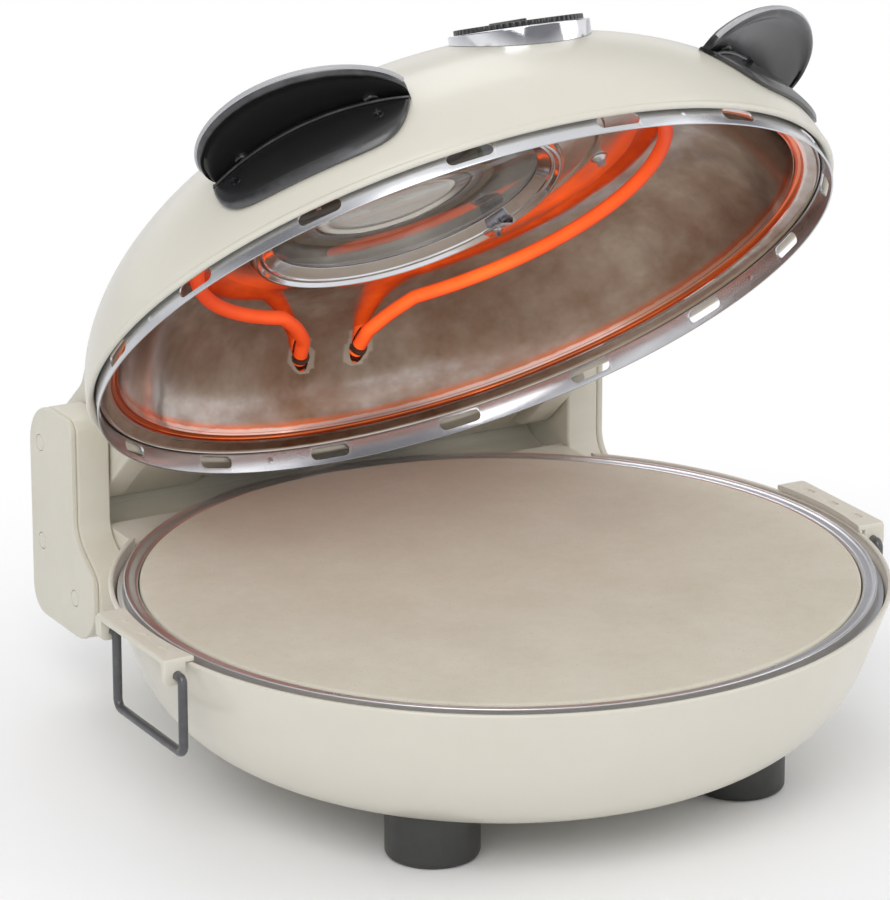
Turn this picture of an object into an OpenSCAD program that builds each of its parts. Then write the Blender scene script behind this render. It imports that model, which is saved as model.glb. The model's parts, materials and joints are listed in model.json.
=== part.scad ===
// Electric pizza maker: a steel bowl that carries a round baking stone, and a domed lid with a
// second heating element, hinged between two brackets at the back. The lid stands half open.
// The origin is on the floor, under the middle of the object's outline. Front is -Y, up is +Z.

/* [Stone] */
// Radius of the baking stone
stone_r = 154.6; // [130:0.2:180]
// Thickness of the baking stone
stone_t = 10; // [8:0.5:14]
// Gap round the stone in its seat
stone_gap = 0.6; // [0.4:0.1:1.2]
// How far the stone's face lies below the rim
stone_drop = 0.4; // [0:0.1:1]

/* [Base] */
// Height of the rim above the floor
rim_h = 87; // [78:1:110]
// Width of the steel rim ring beside the stone
ring_w = 6.3; // [4:0.1:10]
// Width of the groove between the rim ring and the bowl's lip
groove_w = 4.2; // [3:0.1:7]
// Depth of that groove
groove_d = 5; // [3:0.5:8]
// Thickness of the rolled lip of the bowl
lip_t = 2.2; // [1.6:0.1:3]
// How far the bowl's lip lies below the rim
lip_drop = 1.4; // [0.8:0.1:3]
// Sheet thickness of the bowl
bowl_t = 1.2; // [0.8:0.1:2]
// Lean of the bowl's wall from upright, in degrees
bowl_lean = 20; // [10:1:26]
// Radius of the bend from wall to floor of the bowl
bowl_bend = 60; // [40:1:64]
// Sheet thickness of the rim ring and the heat pan
pan_t = 0.9; // [0.6:0.1:1.5]
// Depth of the heat pan below the stone
pan_d = 30; // [22:1:34]
// Height of the feet below the bowl
foot_h = 17.5; // [14:0.5:26]
// Radius of a foot
foot_r = 20; // [14:0.5:24]
// How far the middle of each foot lies outside the flat of the bowl's floor
foot_out = 4.9; // [0:0.1:8]
// Radius of a foot's lower edge
foot_edge = 2.5; // [1:0.5:5]

/* [Rear housing and brackets] */
// How far the hinge line lies inside the bowl's lip
hinge_in = 4.9; // [-6:0.1:8]
// Height of the hinge line above the rim
hinge_up = 18; // [14:1:24]
// Distance between the middles of the two hinge brackets
bracket_span = 250; // [236:1:264]
// Width of a bracket's body
bracket_w = 16; // [13:0.5:20]
// Depth of a bracket, front to back
bracket_d = 43; // [38:1:50]
// Height of a bracket's top above the hinge line
bracket_top = 30; // [26:1:36]
// Depth of a bracket below the rim
bracket_drop = 51; // [44:1:60]
// How far the bracket's foot juts out in front
boot_jut = 20; // [10:1:26]
// Height of the bracket's foot
boot_h = 32; // [24:1:38]
// Thickness of the bracket's cover
cover_t = 3; // [2:0.5:4]
// Radius of the cover's round plugs
plug_r = 3.6; // [2.5:0.1:5]
// Radius of the hinge pin
pin_r = 4; // [3:0.25:5]
// Running clearance round the hinge pin
pin_gap = 0.06; // [0.02:0.01:0.1]
// How far the housing's deck lies below the rim
deck_drop = 3.5; // [3:0.5:10]
// Wall of the housing between the brackets
housing_t = 2; // [1.5:0.25:3]

/* [Lid] */
// Lid's opening angle as shown, in degrees
lid_open = 40.5; // [36:0.5:55]
// How far the slotted collar stands out past the rim ring
collar_out = 3.7; // [2:0.1:4.5]
// Height of the slotted collar
collar_h = 10; // [8:0.5:14]
// How much narrower the collar is at its top
collar_taper = 1.8; // [0.5:0.1:3]
// Sheet thickness of the collar
collar_t = 0.9; // [0.6:0.1:1.5]
// Number of slots in the collar
slot_n = 16; // [8:1:24]
// Length of a slot
slot_l = 19.5; // [12:0.5:24]
// Width of a slot
slot_w = 5.4; // [4:0.2:6]
// Height of the closed collar above the rim
close_gap = 1; // [0.8:0.1:2]
// Room between the reflector's top and the dome's top
crown_room = 36.5; // [30:0.5:44]
// How far the dome's skirt stands out past the collar's top
dome_over = 4; // [3:0.2:6]
// Sheet thickness of the dome
dome_t = 1; // [0.7:0.1:1.6]
// Width of the lid's hinge arm
arm_w = 13; // [10:0.5:16]
// Side play between a hinge arm and its bracket
arm_play = 1; // [0.5:0.1:2]
// Radius of the arm's eye round the hinge pin
arm_eye = 14; // [11:0.5:16]

/* [Reflector and elements] */
// Height of the reflector's flat top above the collar's lower edge
refl_h = 58.5; // [54:0.5:62]
// Width of the flange between the collar and the reflector
flange_w = 9; // [7:0.5:12]
// Rise of that flange
flange_rise = 3.5; // [2:0.5:6]
// Sheet thickness of the reflector
refl_t = 0.8; // [0.6:0.1:1.2]
// Radius of the heating elements' tubes
tube_r = 3.2; // [2.6:0.1:4]
// Distance of the upper element's loop inside the reflector's edge
upper_in = 47.3; // [40:0.1:54]
// How far the upper element hangs below the reflector's top
upper_drop = 10; // [7:0.5:14]
// Distance of the lower element's loop inside the flat of its pan
lower_in = 28.2; // [14:0.1:40]
// Height of the lower element above the floor of its pan
lower_up = 10; // [6:0.5:16]
// Radius of the bends where an element turns to its terminals
turn_r = 13; // [10:0.5:16]

/* [Window] */
// Distance of the window behind the lid's middle
window_y = 22; // [14:1:26]
// Radius of the window's glass
glass_r = 64; // [50:0.5:66]
// Thickness of the window's glass
glass_t = 4; // [3:0.5:5]
// Width of the steel ring round the inner glass
window_w = 8; // [6:0.5:10]
// Number of spring clips that hold the inner glass
clip_n = 2; // [2:1:6]

/* [Control knob] */
// Distance of the knob in front of the lid's middle
knob_y = 116; // [88:1:120]
// Lean of the knob from the lid's axis, in degrees
knob_lean = 24; // [16:1:28]
// Radius of the chrome bezel
bezel_r = 29.5; // [22:0.5:30]
// Height of the bezel above the dome
bezel_h = 2; // [1:0.5:10]
// Radius of the knob's ribbed dial
dial_r = 27; // [18:0.5:28]
// How far the dial stands above the bezel
dial_up = 2.8; // [1.5:0.1:6]
// Number of ribs round the dial
rib_n = 48; // [24:4:72]

/* [Lid handles] */
// Bearing of each handle from the lid's front, in degrees
handle_at = 45.5; // [38:0.5:54]
// Angle that a handle spans, in degrees
handle_span = 34; // [26:1:40]
// How far a handle's blade reaches out
blade_out = 30; // [24:1:40]
// How far the blade rises as it reaches out
blade_rise = 12; // [0:1:16]
// Thickness of the blade
blade_t = 3; // [2:0.5:6]
// Thickness of the handle's flange on the dome
flange_t = 4; // [3:0.5:6]

/* [Carrying bails] */
// Distance of a bail's middle in front of the bowl's middle
bail_y = 6; // [-10:0.5:20]
// Width of a bail between its legs' middles
bail_w = 62; // [50:1:80]
// Drop of a bail below its pivots
bail_d = 33; // [26:1:40]
// Radius of the bail's wire
wire_r = 2; // [1.5:0.1:2.5]
// Clearance round the wire in its ears
wire_gap = 0.1; // [0.02:0.01:0.1]
// How far the bail's plate reaches out from the bowl's lip
plate_out = 8.5; // [8:0.5:14]
// Thickness of the bail's plate
plate_t = 2.5; // [2:0.25:4]

/* [Hidden] */

// Roundness of turned parts and of small round parts
round_fn = 180;
small_fn = 40;
// Steps along a bend in an outline
bend_n = 8;
// How far a cutter runs past what it cuts
past = 1;
// Clearance between parts that touch without a fit
touch = 0.2;

CREAM = [0.86, 0.84, 0.78];
STEEL = [0.72, 0.72, 0.72];
CHROME = [0.85, 0.85, 0.87];
BLACK = [0.12, 0.12, 0.12];
STONE = [0.82, 0.76, 0.68];
GLOW = [0.95, 0.3, 0.05];
CERAMIC = [0.93, 0.91, 0.86];
WIRE = [0.25, 0.25, 0.27];
GLASS = [0.7, 0.8, 0.85, 0.4];
WOOL = [0.9, 0.85, 0.6];

// Base, outwards from the stone
seat_r = stone_r + stone_gap;
ring_r = seat_r + ring_w;
lip_in = ring_r + groove_w;
lip_r = lip_in + lip_t;
lip_z = rim_h - lip_drop;
stone_z = rim_h - stone_drop - stone_t;
seat_w = 5;
pan_z = stone_z - pan_t - pan_d;
bowl_z = foot_h;
bend_z = bowl_z + bowl_bend;
bend_r = lip_r - (lip_z - bend_z) * tan(bowl_lean) - bowl_bend / cos(bowl_lean);

// Hinge line and lid
hinge_y = lip_r - hinge_in;
hinge_z = rim_h + hinge_up;
lid_pivot = [0, hinge_y, hinge_z];
lid_z = rim_h + close_gap;
collar_r = ring_r + collar_out;
dome_h = refl_h + crown_room;
dome_r = collar_r - collar_taper + dome_over;
dome_z = collar_h - 2;
bead_r = 1.6;
flange_r = collar_r - collar_taper - collar_t - touch;
refl_r = flange_r - flange_w;
refl_z = collar_h + flange_rise;
upper_r = refl_r - upper_in;
upper_h = refl_h - upper_drop;

// Where the object reaches to, front and back, and so where the origin lies
bracket_back = hinge_y + bracket_d / 2;
arm_rear = arm_eye + 1;
arm_up = 34;
arm_round = 10;
arm_heel = [arm_rear - arm_round, arm_up - arm_round];
arm_back = hinge_y + arm_heel[0] * cos(lid_open) + arm_heel[1] * sin(lid_open) + arm_round;
base_y = (lip_r - max(bracket_back + 2, arm_back)) / 2;

function unit(v) = v / norm(v);
function perp(v) = [-v[1], v[0]];
function reversed(p) = [for (i = [len(p) - 1:-1:0]) p[i]];
function arc(c, r, a0, a1, n = bend_n) =
    [for (i = [0:n]) c + r * [cos(a0 + (a1 - a0) * i / n), sin(a0 + (a1 - a0) * i / n)]];
function bezier(a, b, c, n = 14) =
    [for (i = [0:n]) let (t = i / n) (1 - t) * (1 - t) * a + 2 * t * (1 - t) * b + t * t * c];

// A path moved sideways by t, with mitred corners
function mitre(a, b, c, t) =
    let (n1 = perp(unit(b - a)), n2 = perp(unit(c - b)), m = unit(n1 + n2))
    b + m * (t / (m * n1));
function beside(p, t) =
    let (e = len(p) - 1)
    [for (i = [0:e])
        i == 0 ? p[0] + t * perp(unit(p[1] - p[0]))
        : i == e ? p[e] + t * perp(unit(p[e] - p[e - 1]))
        : mitre(p[i - 1], p[i], p[i + 1], t)];
function strip(p, t) = concat(p, reversed(beside(p, t)));

// A closed outline with each corner rounded: each corner is [x, y, radius]
function corner(a, b, c, r) =
    let (u = unit(a - b), v = unit(c - b), half = acos(u * v) / 2,
         m = unit(u + v), o = b + m * (r / sin(half)),
         s = o - b - u * (r / tan(half)), e = o - b - v * (r / tan(half)),
         a0 = atan2(-s[1], -s[0]), a1 = atan2(-e[1], -e[0]),
         sweep = a1 - a0 > 180 ? a1 - a0 - 360 : a1 - a0 < -180 ? a1 - a0 + 360 : a1 - a0)
    arc(o, r, a0, a0 + sweep);
function flat(p) = [p[0], p[1]];
function rounded(c) =
    let (n = len(c))
    [for (i = [0:n - 1])
        for (q = corner(flat(c[(i + n - 1) % n]), flat(c[i]), flat(c[(i + 1) % n]), c[i][2])) q];

module at_base() {
    translate([0, base_y, 0]) children();
}

// The lid's own frame: its axis is +Z and its collar's lower edge is at 0 when it is closed
module at_lid() {
    at_base() translate(lid_pivot) rotate([-lid_open, 0, 0]) translate(-lid_pivot)
        translate([0, 0, lid_z]) children();
}

module turned(path, t, angle = 360) {
    rotate_extrude(angle = angle, $fn = round_fn) polygon(strip(path, t));
}

module rod(a, b, r) {
    d = b - a;
    translate(a) rotate([0, acos(d[2] / norm(d)), atan2(d[1], d[0])])
        cylinder(r = r, h = norm(d), $fn = small_fn);
}

module both_sides() {
    children();
    mirror([1, 0, 0]) children();
}

// Bowl and what lies in it

function bowl_wall(inset = 0) = concat(
    [[lip_r - inset / cos(bowl_lean), lip_z]],
    arc([bend_r, bend_z], bowl_bend - inset, -bowl_lean, -90, 12),
    [[0, bowl_z + inset]]
);

foot_ways = [225, 315, 135, 45];
foot_at = [for (a = foot_ways) (bend_r + foot_out) * [cos(a), sin(a)]];
screw_r = 2;
// The feet's screws go through where the bowl's floor is still flat
foot_screw_at = [for (a = foot_ways) (bend_r - screw_r / 2) * [cos(a), sin(a)]];

module bowl() {
    color(CREAM) at_base() difference() {
        union() {
            rotate_extrude($fn = round_fn) polygon(concat(bowl_wall(), reversed(bowl_wall(bowl_t))));
            rotate_extrude($fn = round_fn) translate([lip_r - lip_t / 2, lip_z]) circle(d = lip_t, $fn = small_fn);
        }
        for (p = foot_screw_at) translate([p[0], p[1], bowl_z - past])
            cylinder(r = screw_r + touch, h = bowl_t + 2 * past, $fn = small_fn);
        lower_ways(terminal_r + terminal_gap, lower_end - 30, lip_r);
        translate([-bracket_in, notch_y, notch_z]) cube([2 * bracket_in, lip_r, notch_h]);
    }
}

// The rear housing's deck takes the lip's place between the brackets
notch_y = 100;
notch_drop = 7;
notch_z = rim_h - notch_drop;
notch_h = 2 * notch_drop;

pan_r = seat_r - seat_w;
pan_floor_r = pan_r - 18;
pan_bend = 14;

module heat_pan() {
    path = concat(
        [[0, pan_z]],
        arc([pan_floor_r, pan_z + pan_bend], pan_bend, -90, -20),
        [[pan_r, stone_z - pan_t - touch - pan_t]],
        [[seat_r + pan_t, stone_z - pan_t - touch - pan_t]]
    );
    color(STEEL) at_base() difference() {
        turned(path, pan_t);
        lower_ways(tube_r + 1, pan_floor_r, lip_r);
    }
}

module rim_ring() {
    wall_r = seat_r + pan_t;
    crest = 0.6;
    path = [
        [pan_r, stone_z - pan_t],
        [wall_r, stone_z - pan_t],
        [wall_r, rim_h - pan_t - stone_drop],
        [wall_r + crest, rim_h - pan_t],
        [ring_r - pan_t, rim_h - pan_t],
        [ring_r - pan_t, rim_h - groove_d - pan_t],
        [lip_in - touch - (groove_d - lip_drop) * tan(bowl_lean), rim_h - groove_d - pan_t]
    ];
    color(CHROME) at_base() turned(path, pan_t);
}

module baking_stone() {
    edge = 1.2;
    color(STONE) at_base() rotate_extrude($fn = round_fn) polygon([
        [0, stone_z], [stone_r - edge, stone_z], [stone_r, stone_z + edge],
        [stone_r, stone_z + stone_t - edge], [stone_r - edge, stone_z + stone_t], [0, stone_z + stone_t]
    ]);
}

// A tube of flat facets swept along a path of points
tube_sides = 12;
function facing(p, i) = unit(p[min(i + 1, len(p) - 1)] - p[max(i - 1, 0)]);
function tube_ring(c, d, r) =
    let (side = unit(cross(d, [0, 0, 1])), up = cross(side, d))
    [for (k = [0:tube_sides - 1]) let (a = 360 * k / tube_sides) c + r * (cos(a) * side + sin(a) * up)];
module tube(p, r) {
    n = len(p);
    m = tube_sides;
    polyhedron(
        points = [for (i = [0:n - 1]) each tube_ring(p[i], facing(p, i), r)],
        faces = concat(
            [[for (k = [0:m - 1]) k]],
            [for (i = [0:n - 2], k = [0:m - 1]) let (a = i * m + k, b = i * m + (k + 1) % m) [a, a + m, b]],
            [for (i = [0:n - 2], k = [0:m - 1]) let (a = i * m + k, b = i * m + (k + 1) % m) [b, a + m, b + m]],
            [[for (k = [m - 1:-1:0]) (n - 1) * m + k]]
        ),
        convexity = 6
    );
}

// A heating element: most of a ring, whose two ends turn out to the terminals at the back
leg_x = 15;
leg_level = 22;
loop_n = 56;
function level(p, z) = [for (q = p) [q[0], q[1], z]];
function flipped(p) = [for (i = [len(p) - 1:-1:0]) [-p[i][0], p[i][1], p[i][2]]];
function element_path(loop_r, z, gap, leg) =
    concat(flipped(leg), level(arc([0, 0], loop_r, 90 + gap, 450 - gap, loop_n), z), leg);
function turn_at(loop_r) = asin((leg_x + turn_r) / (loop_r + turn_r));

lower_r = pan_floor_r - lower_in;
lower_z = pan_z + pan_t + lower_up;
lower_end = lip_r - 4;
leg_rise = 2;
terminal_r = 6;
terminal_gap = 0.15;
terminal_l = 12;

// The way of the lower element's legs out through the pan and the bowl
module lower_ways(r, y0, y1) {
    both_sides() translate([leg_x, y0, lower_z + leg_rise]) rotate([-90, 0, 0])
        cylinder(r = r, h = y1 - y0, $fn = small_fn);
}

lower_gap = turn_at(lower_r);
lower_turn = (lower_r + turn_r) * [sin(lower_gap), cos(lower_gap)];
lower_leg = concat(
    level(arc(lower_turn, turn_r, 270 - lower_gap, 180), lower_z),
    [[leg_x, lower_end - leg_level, lower_z + leg_rise], [leg_x, lower_end, lower_z + leg_rise]]
);
module lower_element() {
    color(GLOW) at_base() tube(element_path(lower_r, lower_z, lower_gap + 1, lower_leg), tube_r);
}

clip_w = 8;
module lower_clips() {
    color(STEEL) at_base() for (a = [30, 150, 270])
        rotate([0, 0, a]) translate([lower_r - clip_w / 2, -clip_w / 2, pan_z + pan_t])
        cube([clip_w, clip_w, lower_up - tube_r]);
}

module bushing(r_in, r_out, h) {
    difference() {
        cylinder(r = r_out, h = h, $fn = small_fn);
        translate([0, 0, -past]) cylinder(r = r_in, h = h + 2 * past, $fn = small_fn);
    }
}

module lower_terminals() {
    color(CERAMIC) at_base() both_sides()
        translate([leg_x, lower_end - terminal_l - 2, lower_z + leg_rise]) rotate([-90, 0, 0])
        bushing(tube_r + touch, terminal_r, terminal_l);
}

// Feet: each follows the bowl's curve at its top
foot_up = 6;
module foot(p) {
    at = foot_at[p];
    hole = foot_screw_at[p];
    color(BLACK) at_base() difference() {
        translate([at[0], at[1], 0]) rotate_extrude($fn = 2 * small_fn) polygon(concat(
            [[0, 0]], arc([foot_r - foot_edge, foot_edge], foot_edge, -90, 0),
            [[foot_r, bowl_z + foot_up], [0, bowl_z + foot_up]]
        ));
        translate([hole[0], hole[1], bowl_z / 2]) cylinder(r = screw_r + touch / 2, h = bowl_z, $fn = small_fn);
        bowl_space(touch / 2);
    }
}
module foot_front_left() { foot(0); }
module foot_front_right() { foot(1); }
module foot_rear_left() { foot(2); }
module foot_rear_right() { foot(3); }

module foot_screws() {
    head_h = 2.4;
    color(STEEL) at_base() for (p = foot_screw_at) translate([p[0], p[1], 0]) {
        translate([0, 0, bowl_z / 2 + past]) cylinder(r = screw_r, h = bowl_z / 2 + bowl_t, $fn = small_fn);
        translate([0, 0, bowl_z + bowl_t + touch / 2]) cylinder(r = screw_r + 1.2, h = head_h, $fn = small_fn);
    }
}

// Rear housing between the brackets
bracket_x = bracket_span / 2;
bracket_in = bracket_x - bracket_w / 2;
bracket_out = bracket_x + bracket_w / 2;
bracket_front = hinge_y - bracket_d / 2;
bracket_z = rim_h - bracket_drop;
deck_z = rim_h - deck_drop;
housing_front = 96;
housing_edge = 8;

function housing_outline(inset, low) = rounded([
    [housing_front + inset, low, housing_t],
    [bracket_back - inset, low, housing_t],
    [bracket_back - inset, deck_z - inset, housing_edge - inset],
    [housing_front + inset, deck_z - inset, housing_t]
]);

// Everything within the bowl's outside, to cut what meets the bowl: above the notch it ends at the groove
deck_in = lip_in - past;
module bowl_space(grow) {
    wall_in = lip_r - (lip_z - notch_z) * tan(bowl_lean) + grow / cos(bowl_lean);
    rotate_extrude($fn = round_fn) polygon(concat(
        [[0, rim_h + 20], [deck_in, rim_h + 20], [deck_in, notch_z], [wall_in, notch_z]],
        arc([bend_r, bend_z], bowl_bend + grow, -bowl_lean, -90, 12),
        [[0, bowl_z - grow]]
    ));
}

// The way of the lid's barrel in the deck
barrel_r = 26;
module barrel_way(r) {
    translate([-lip_r, hinge_y, hinge_z]) rotate([0, 90, 0]) cylinder(r = r, h = 2 * lip_r, $fn = round_fn);
}

module housing_block(inset = 0, low = bracket_z) {
    w = 2 * (bracket_in - touch - inset);
    slab_x(-w / 2, w, housing_outline(inset, low));
}

// The cord comes in through a bushing in the housing's back; the cord itself isn't drawn
bushing_r = 9;
bushing_z = bracket_z + 20;
inlet_r = 4;
inlet_l = 6;
inlet_x = 30 - bracket_in;
inlet_y = bracket_back - housing_t;

module rear_housing() {
    color(CREAM) at_base() difference() {
        housing_block();
        difference() {
            housing_block(housing_t, bracket_z - housing_edge);
            barrel_way(barrel_r + past + housing_t);
        }
        barrel_way(barrel_r + past);
        bowl_space(touch);
        translate([inlet_x, bracket_back - 2 * housing_t, bushing_z]) rotate([-90, 0, 0])
            cylinder(r = bushing_r - 2, h = 4 * housing_t, $fn = small_fn);
    }
}

module housing_floor() {
    t = housing_t - touch;
    color(CREAM) at_base() difference() {
        intersection() {
            housing_block(housing_t + touch, bracket_z - housing_edge);
            translate([-bracket_in, housing_front, bracket_z]) cube([2 * bracket_in, bracket_back, t]);
        }
        bowl_space(touch);
    }
}

module cord_bushing() {
    head = 2;
    color(BLACK) at_base() translate([inlet_x, bracket_back + head - inlet_l, bushing_z])
        rotate([-90, 0, 0]) difference() {
            union() {
                cylinder(r = bushing_r - 2 - touch, h = inlet_l - past, $fn = small_fn);
                translate([0, 0, inlet_l - head]) cylinder(r = bushing_r, h = head, $fn = small_fn);
            }
            translate([0, 0, -past]) cylinder(r = inlet_r, h = inlet_l + 2 * past, $fn = small_fn);
        }
}

module terminal_block() {
    block = [40, 14, 12];
    color(CERAMIC) at_base() translate([-block[0] / 2, bracket_back - housing_edge - block[1], bracket_z + housing_t - touch])
        difference() {
            cube(block);
            for (i = [0:3]) translate([6 + i * 9.3, -past, 7]) cube([5, block[1] + 2 * past, block[2]]);
        }
}

module safety_thermostat() {
    r = 12;
    color(STEEL) at_base() translate([60, 0, pan_z - 6 - touch]) {
        cylinder(r = r, h = 6, $fn = small_fn);
        translate([0, 0, -5]) cylinder(r = r - 4, h = 5, $fn = small_fn);
    }
}

// Hinge brackets
function bracket_outline(inset = 0) = rounded([
    [bracket_front + inset, hinge_z + bracket_top - inset, 6],
    [bracket_back - inset, hinge_z + bracket_top - inset, 20],
    [bracket_back - inset, bracket_z + inset, 12],
    [bracket_front - boot_jut + inset, bracket_z + inset, 18],
    [bracket_front - boot_jut + inset, bracket_z + boot_h - inset, 9],
    [bracket_front + inset, bracket_z + boot_h + 14 - inset, 14]
]);

module slab_x(x, t, outline) {
    translate([x, 0, 0]) rotate([90, 0, 90]) linear_extrude(t) polygon(outline);
}

module bracket() {
    difference() {
        slab_x(bracket_in, bracket_w, bracket_outline());
        translate([bracket_in - past, hinge_y, hinge_z]) rotate([0, 90, 0])
            cylinder(r = pin_r, h = bracket_w + 2 * past, $fn = small_fn);
    }
}
module bracket_right() { color(CREAM) at_base() bracket(); }
module bracket_left() { color(CREAM) at_base() mirror([1, 0, 0]) bracket(); }

plug_at = [
    [bracket_back - 11, hinge_z + 12],
    [bracket_back - 11, rim_h - 16],
    [bracket_front - 1, bracket_z + 18]
];
plug_t = 1.5;

module bracket_cover() {
    step = 0.9;
    difference() {
        union() {
            slab_x(bracket_out, cover_t - step, bracket_outline());
            slab_x(bracket_out + cover_t - step, step, bracket_outline(step));
        }
        for (p = plug_at) translate([bracket_out + cover_t - plug_t, p[0], p[1]]) rotate([0, 90, 0])
            cylinder(r = plug_r + touch / 2, h = cover_t, $fn = small_fn);
    }
}
module bracket_cover_right() { color(CREAM) at_base() bracket_cover(); }
module bracket_cover_left() { color(CREAM) at_base() mirror([1, 0, 0]) bracket_cover(); }

module cover_plugs() {
    for (p = plug_at) translate([bracket_out + cover_t - plug_t, p[0], p[1]]) rotate([0, 90, 0])
        cylinder(r = plug_r, h = plug_t + touch, $fn = small_fn);
}
module cover_plugs_right() { color(CREAM) at_base() cover_plugs(); }
module cover_plugs_left() { color(CREAM) at_base() mirror([1, 0, 0]) cover_plugs(); }

arm_out = bracket_in - arm_play;
arm_in = arm_out - arm_w;

module hinge_pin() {
    head = 2;
    translate([arm_in - head, hinge_y, hinge_z]) rotate([0, 90, 0]) {
        cylinder(r = pin_r, h = head + arm_w + arm_play + bracket_w, $fn = small_fn);
        cylinder(r = pin_r + 2.5, h = head - touch, $fn = small_fn);
    }
}
module hinge_pin_right() { color(STEEL) at_base() hinge_pin(); }
module hinge_pin_left() { color(STEEL) at_base() mirror([1, 0, 0]) hinge_pin(); }

// Carrying bails on the two sides: both ends of a bail slide backwards into their ears
ear_front_t = 3;
ear_rear_t = 5;
ear_r = 5;
ear_drop = 9;
ear_gap = 3.7;
pivot_z = rim_h - 5;
plate_in = collar_r + 0.8;
plate_x1 = lip_r + plate_out;
plate_z = lip_z + lip_t / 2 + touch;
bail_x = plate_x1 - 6;
stub = 9.5;
dimple_n = 3;
dimple_gap = 19;
dimple = [7, 3.4];

module ear(y, t) {
    translate([0, y + t, 0]) rotate([90, 0, 0]) linear_extrude(t) polygon(rounded([
        [plate_x1, plate_z + plate_t / 2, 0.6], [plate_x1, rim_h - ear_drop, 3],
        [bail_x - ear_r + past, rim_h - ear_drop, 3], [bail_x - ear_r + past, plate_z + plate_t / 2, 0.6]
    ]));
}

module bail_plate() {
    y0 = wire_r + ear_gap - bail_w / 2 - past;
    y1 = bail_w / 2 + wire_r + past + ear_rear_t;
    difference() {
        union() {
            translate([lip_in - 10, y0, plate_z]) cube([plate_x1 - lip_in + 10, y1 - y0, plate_t]);
            ear(y0, ear_front_t);
            ear(y1 - ear_rear_t, ear_rear_t);
        }
        translate([bail_x, y1 + past, pivot_z]) rotate([90, 0, 0])
            cylinder(r = wire_r + wire_gap, h = y1 - y0 + 2 * past, $fn = small_fn);
        translate([0, bail_y, 0]) cylinder(r = plate_in, h = rim_h + 20, $fn = round_fn);
        translate([0, bail_y, 0]) bowl_space(touch);
        for (i = [0:dimple_n - 1]) translate([plate_x1 - 6, y0 + 13 + i * dimple_gap, plate_z + plate_t - 0.8])
            linear_extrude(2) scale(dimple[1] / 2) for (k = [-1, 1]) {
                translate([0, k * (dimple[0] / dimple[1] - 1)]) circle(r = 1, $fn = small_fn);
                square([2, 2 * (dimple[0] / dimple[1] - 1)], center = true);
            }
    }
}
module bail_plate_right() { color(CREAM) at_base() translate([0, -bail_y, 0]) bail_plate(); }
module bail_plate_left() { color(CREAM) at_base() translate([0, -bail_y, 0]) mirror([1, 0, 0]) bail_plate(); }

bail_bend = 4;
module bail() {
    y1 = bail_w / 2;
    z0 = pivot_z - bail_d;
    translate([bail_x, 0, 0]) {
        for (s = [-1, 1]) {
            rod([0, s * y1, z0 + bail_bend], [0, s * y1, pivot_z], wire_r);
            translate([0, s * y1, pivot_z]) sphere(r = wire_r, $fn = small_fn);
            rod([0, s * y1, pivot_z], [0, s * y1 + stub, pivot_z], wire_r);
            translate([0, s * (y1 - bail_bend), z0 + bail_bend]) rotate([90, 0, 90])
                rotate([0, 0, s > 0 ? 270 : 180])
                rotate_extrude(angle = 90, $fn = round_fn) translate([bail_bend, 0]) circle(r = wire_r, $fn = small_fn);
        }
        rod([0, bail_bend - y1, z0], [0, y1 - bail_bend, z0], wire_r);
    }
}
module bail_right() { color(WIRE) at_base() translate([0, -bail_y, 0]) bail(); }
module bail_left() { color(WIRE) at_base() translate([0, -bail_y, 0]) mirror([1, 0, 0]) bail(); }

// Dome: its profile rises from the skirt to the crown as one full curve
skirt_power = 1.7;
crown_power = 2.3;
function dome_rim(t, r = dome_r) = r * pow(1 - pow(t, skirt_power), 1 / crown_power);
function dome_curve(inset = 0, n = 26) = [for (i = [0:n]) let (a = i / n, t = 1 - pow(1 - a, 1.7))
    [dome_rim(t, dome_r - inset), dome_z + t * (dome_h - dome_z - inset)]];
// Height of the dome's outside at a given distance from its axis
function dome_top(r) = dome_z + (dome_h - dome_z) * pow(1 - pow(r / dome_r, crown_power), 1 / skirt_power);

window_lean = 4.3;
outer_r = glass_r + 4;
window_sink = 3.5;
window_top = dome_top(window_y) - window_sink;

module at_window() {
    translate([0, window_y, window_top]) rotate([-window_lean, 0, 0]) children();
}

knob_z = dome_top(knob_y);
module at_knob() {
    translate([0, -knob_y, knob_z]) rotate([knob_lean, 0, 0]) children();
}
shaft_r = 3;
dial_low = 1.1;

module dome_solid(inset, low) {
    rotate_extrude($fn = round_fn) polygon(concat([[0, low], [dome_r - inset, low]], dome_curve(inset)));
}

module dome() {
    skirt = [dome_r, dome_z];
    color(CREAM) at_lid() difference() {
        union() {
            difference() {
                dome_solid(0, dome_z);
                dome_solid(dome_t, dome_z - past);
            }
            rotate_extrude($fn = round_fn) translate([dome_r - bead_r * 0.6, dome_z]) circle(r = bead_r, $fn = small_fn);
            rotate_extrude($fn = round_fn) polygon(strip([
                [collar_r - collar_taper + 2 * touch, collar_h], [dome_r - bead_r, dome_z]
            ], dome_t));
        }
        at_window() translate([0, 0, -20]) cylinder(r = glass_r, h = 40, $fn = round_fn);
        at_knob() translate([0, 0, -20]) cylinder(r = shaft_r + 1, h = 40, $fn = small_fn);
    }
}

// What the lid's shell, its hem and the collar take up, to cut what is fixed to them
module lid_space() {
    dome_solid(-touch, dome_z);
    cylinder(r = dome_r + bead_r, h = dome_z + bead_r + touch, $fn = round_fn);
}

// The barrel that the lid's hinge arms and apron share: it starts below the hinge line
apron_low = [13, 9.2];
barrel_a0 = -14;
barrel_a1 = 52;

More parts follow.
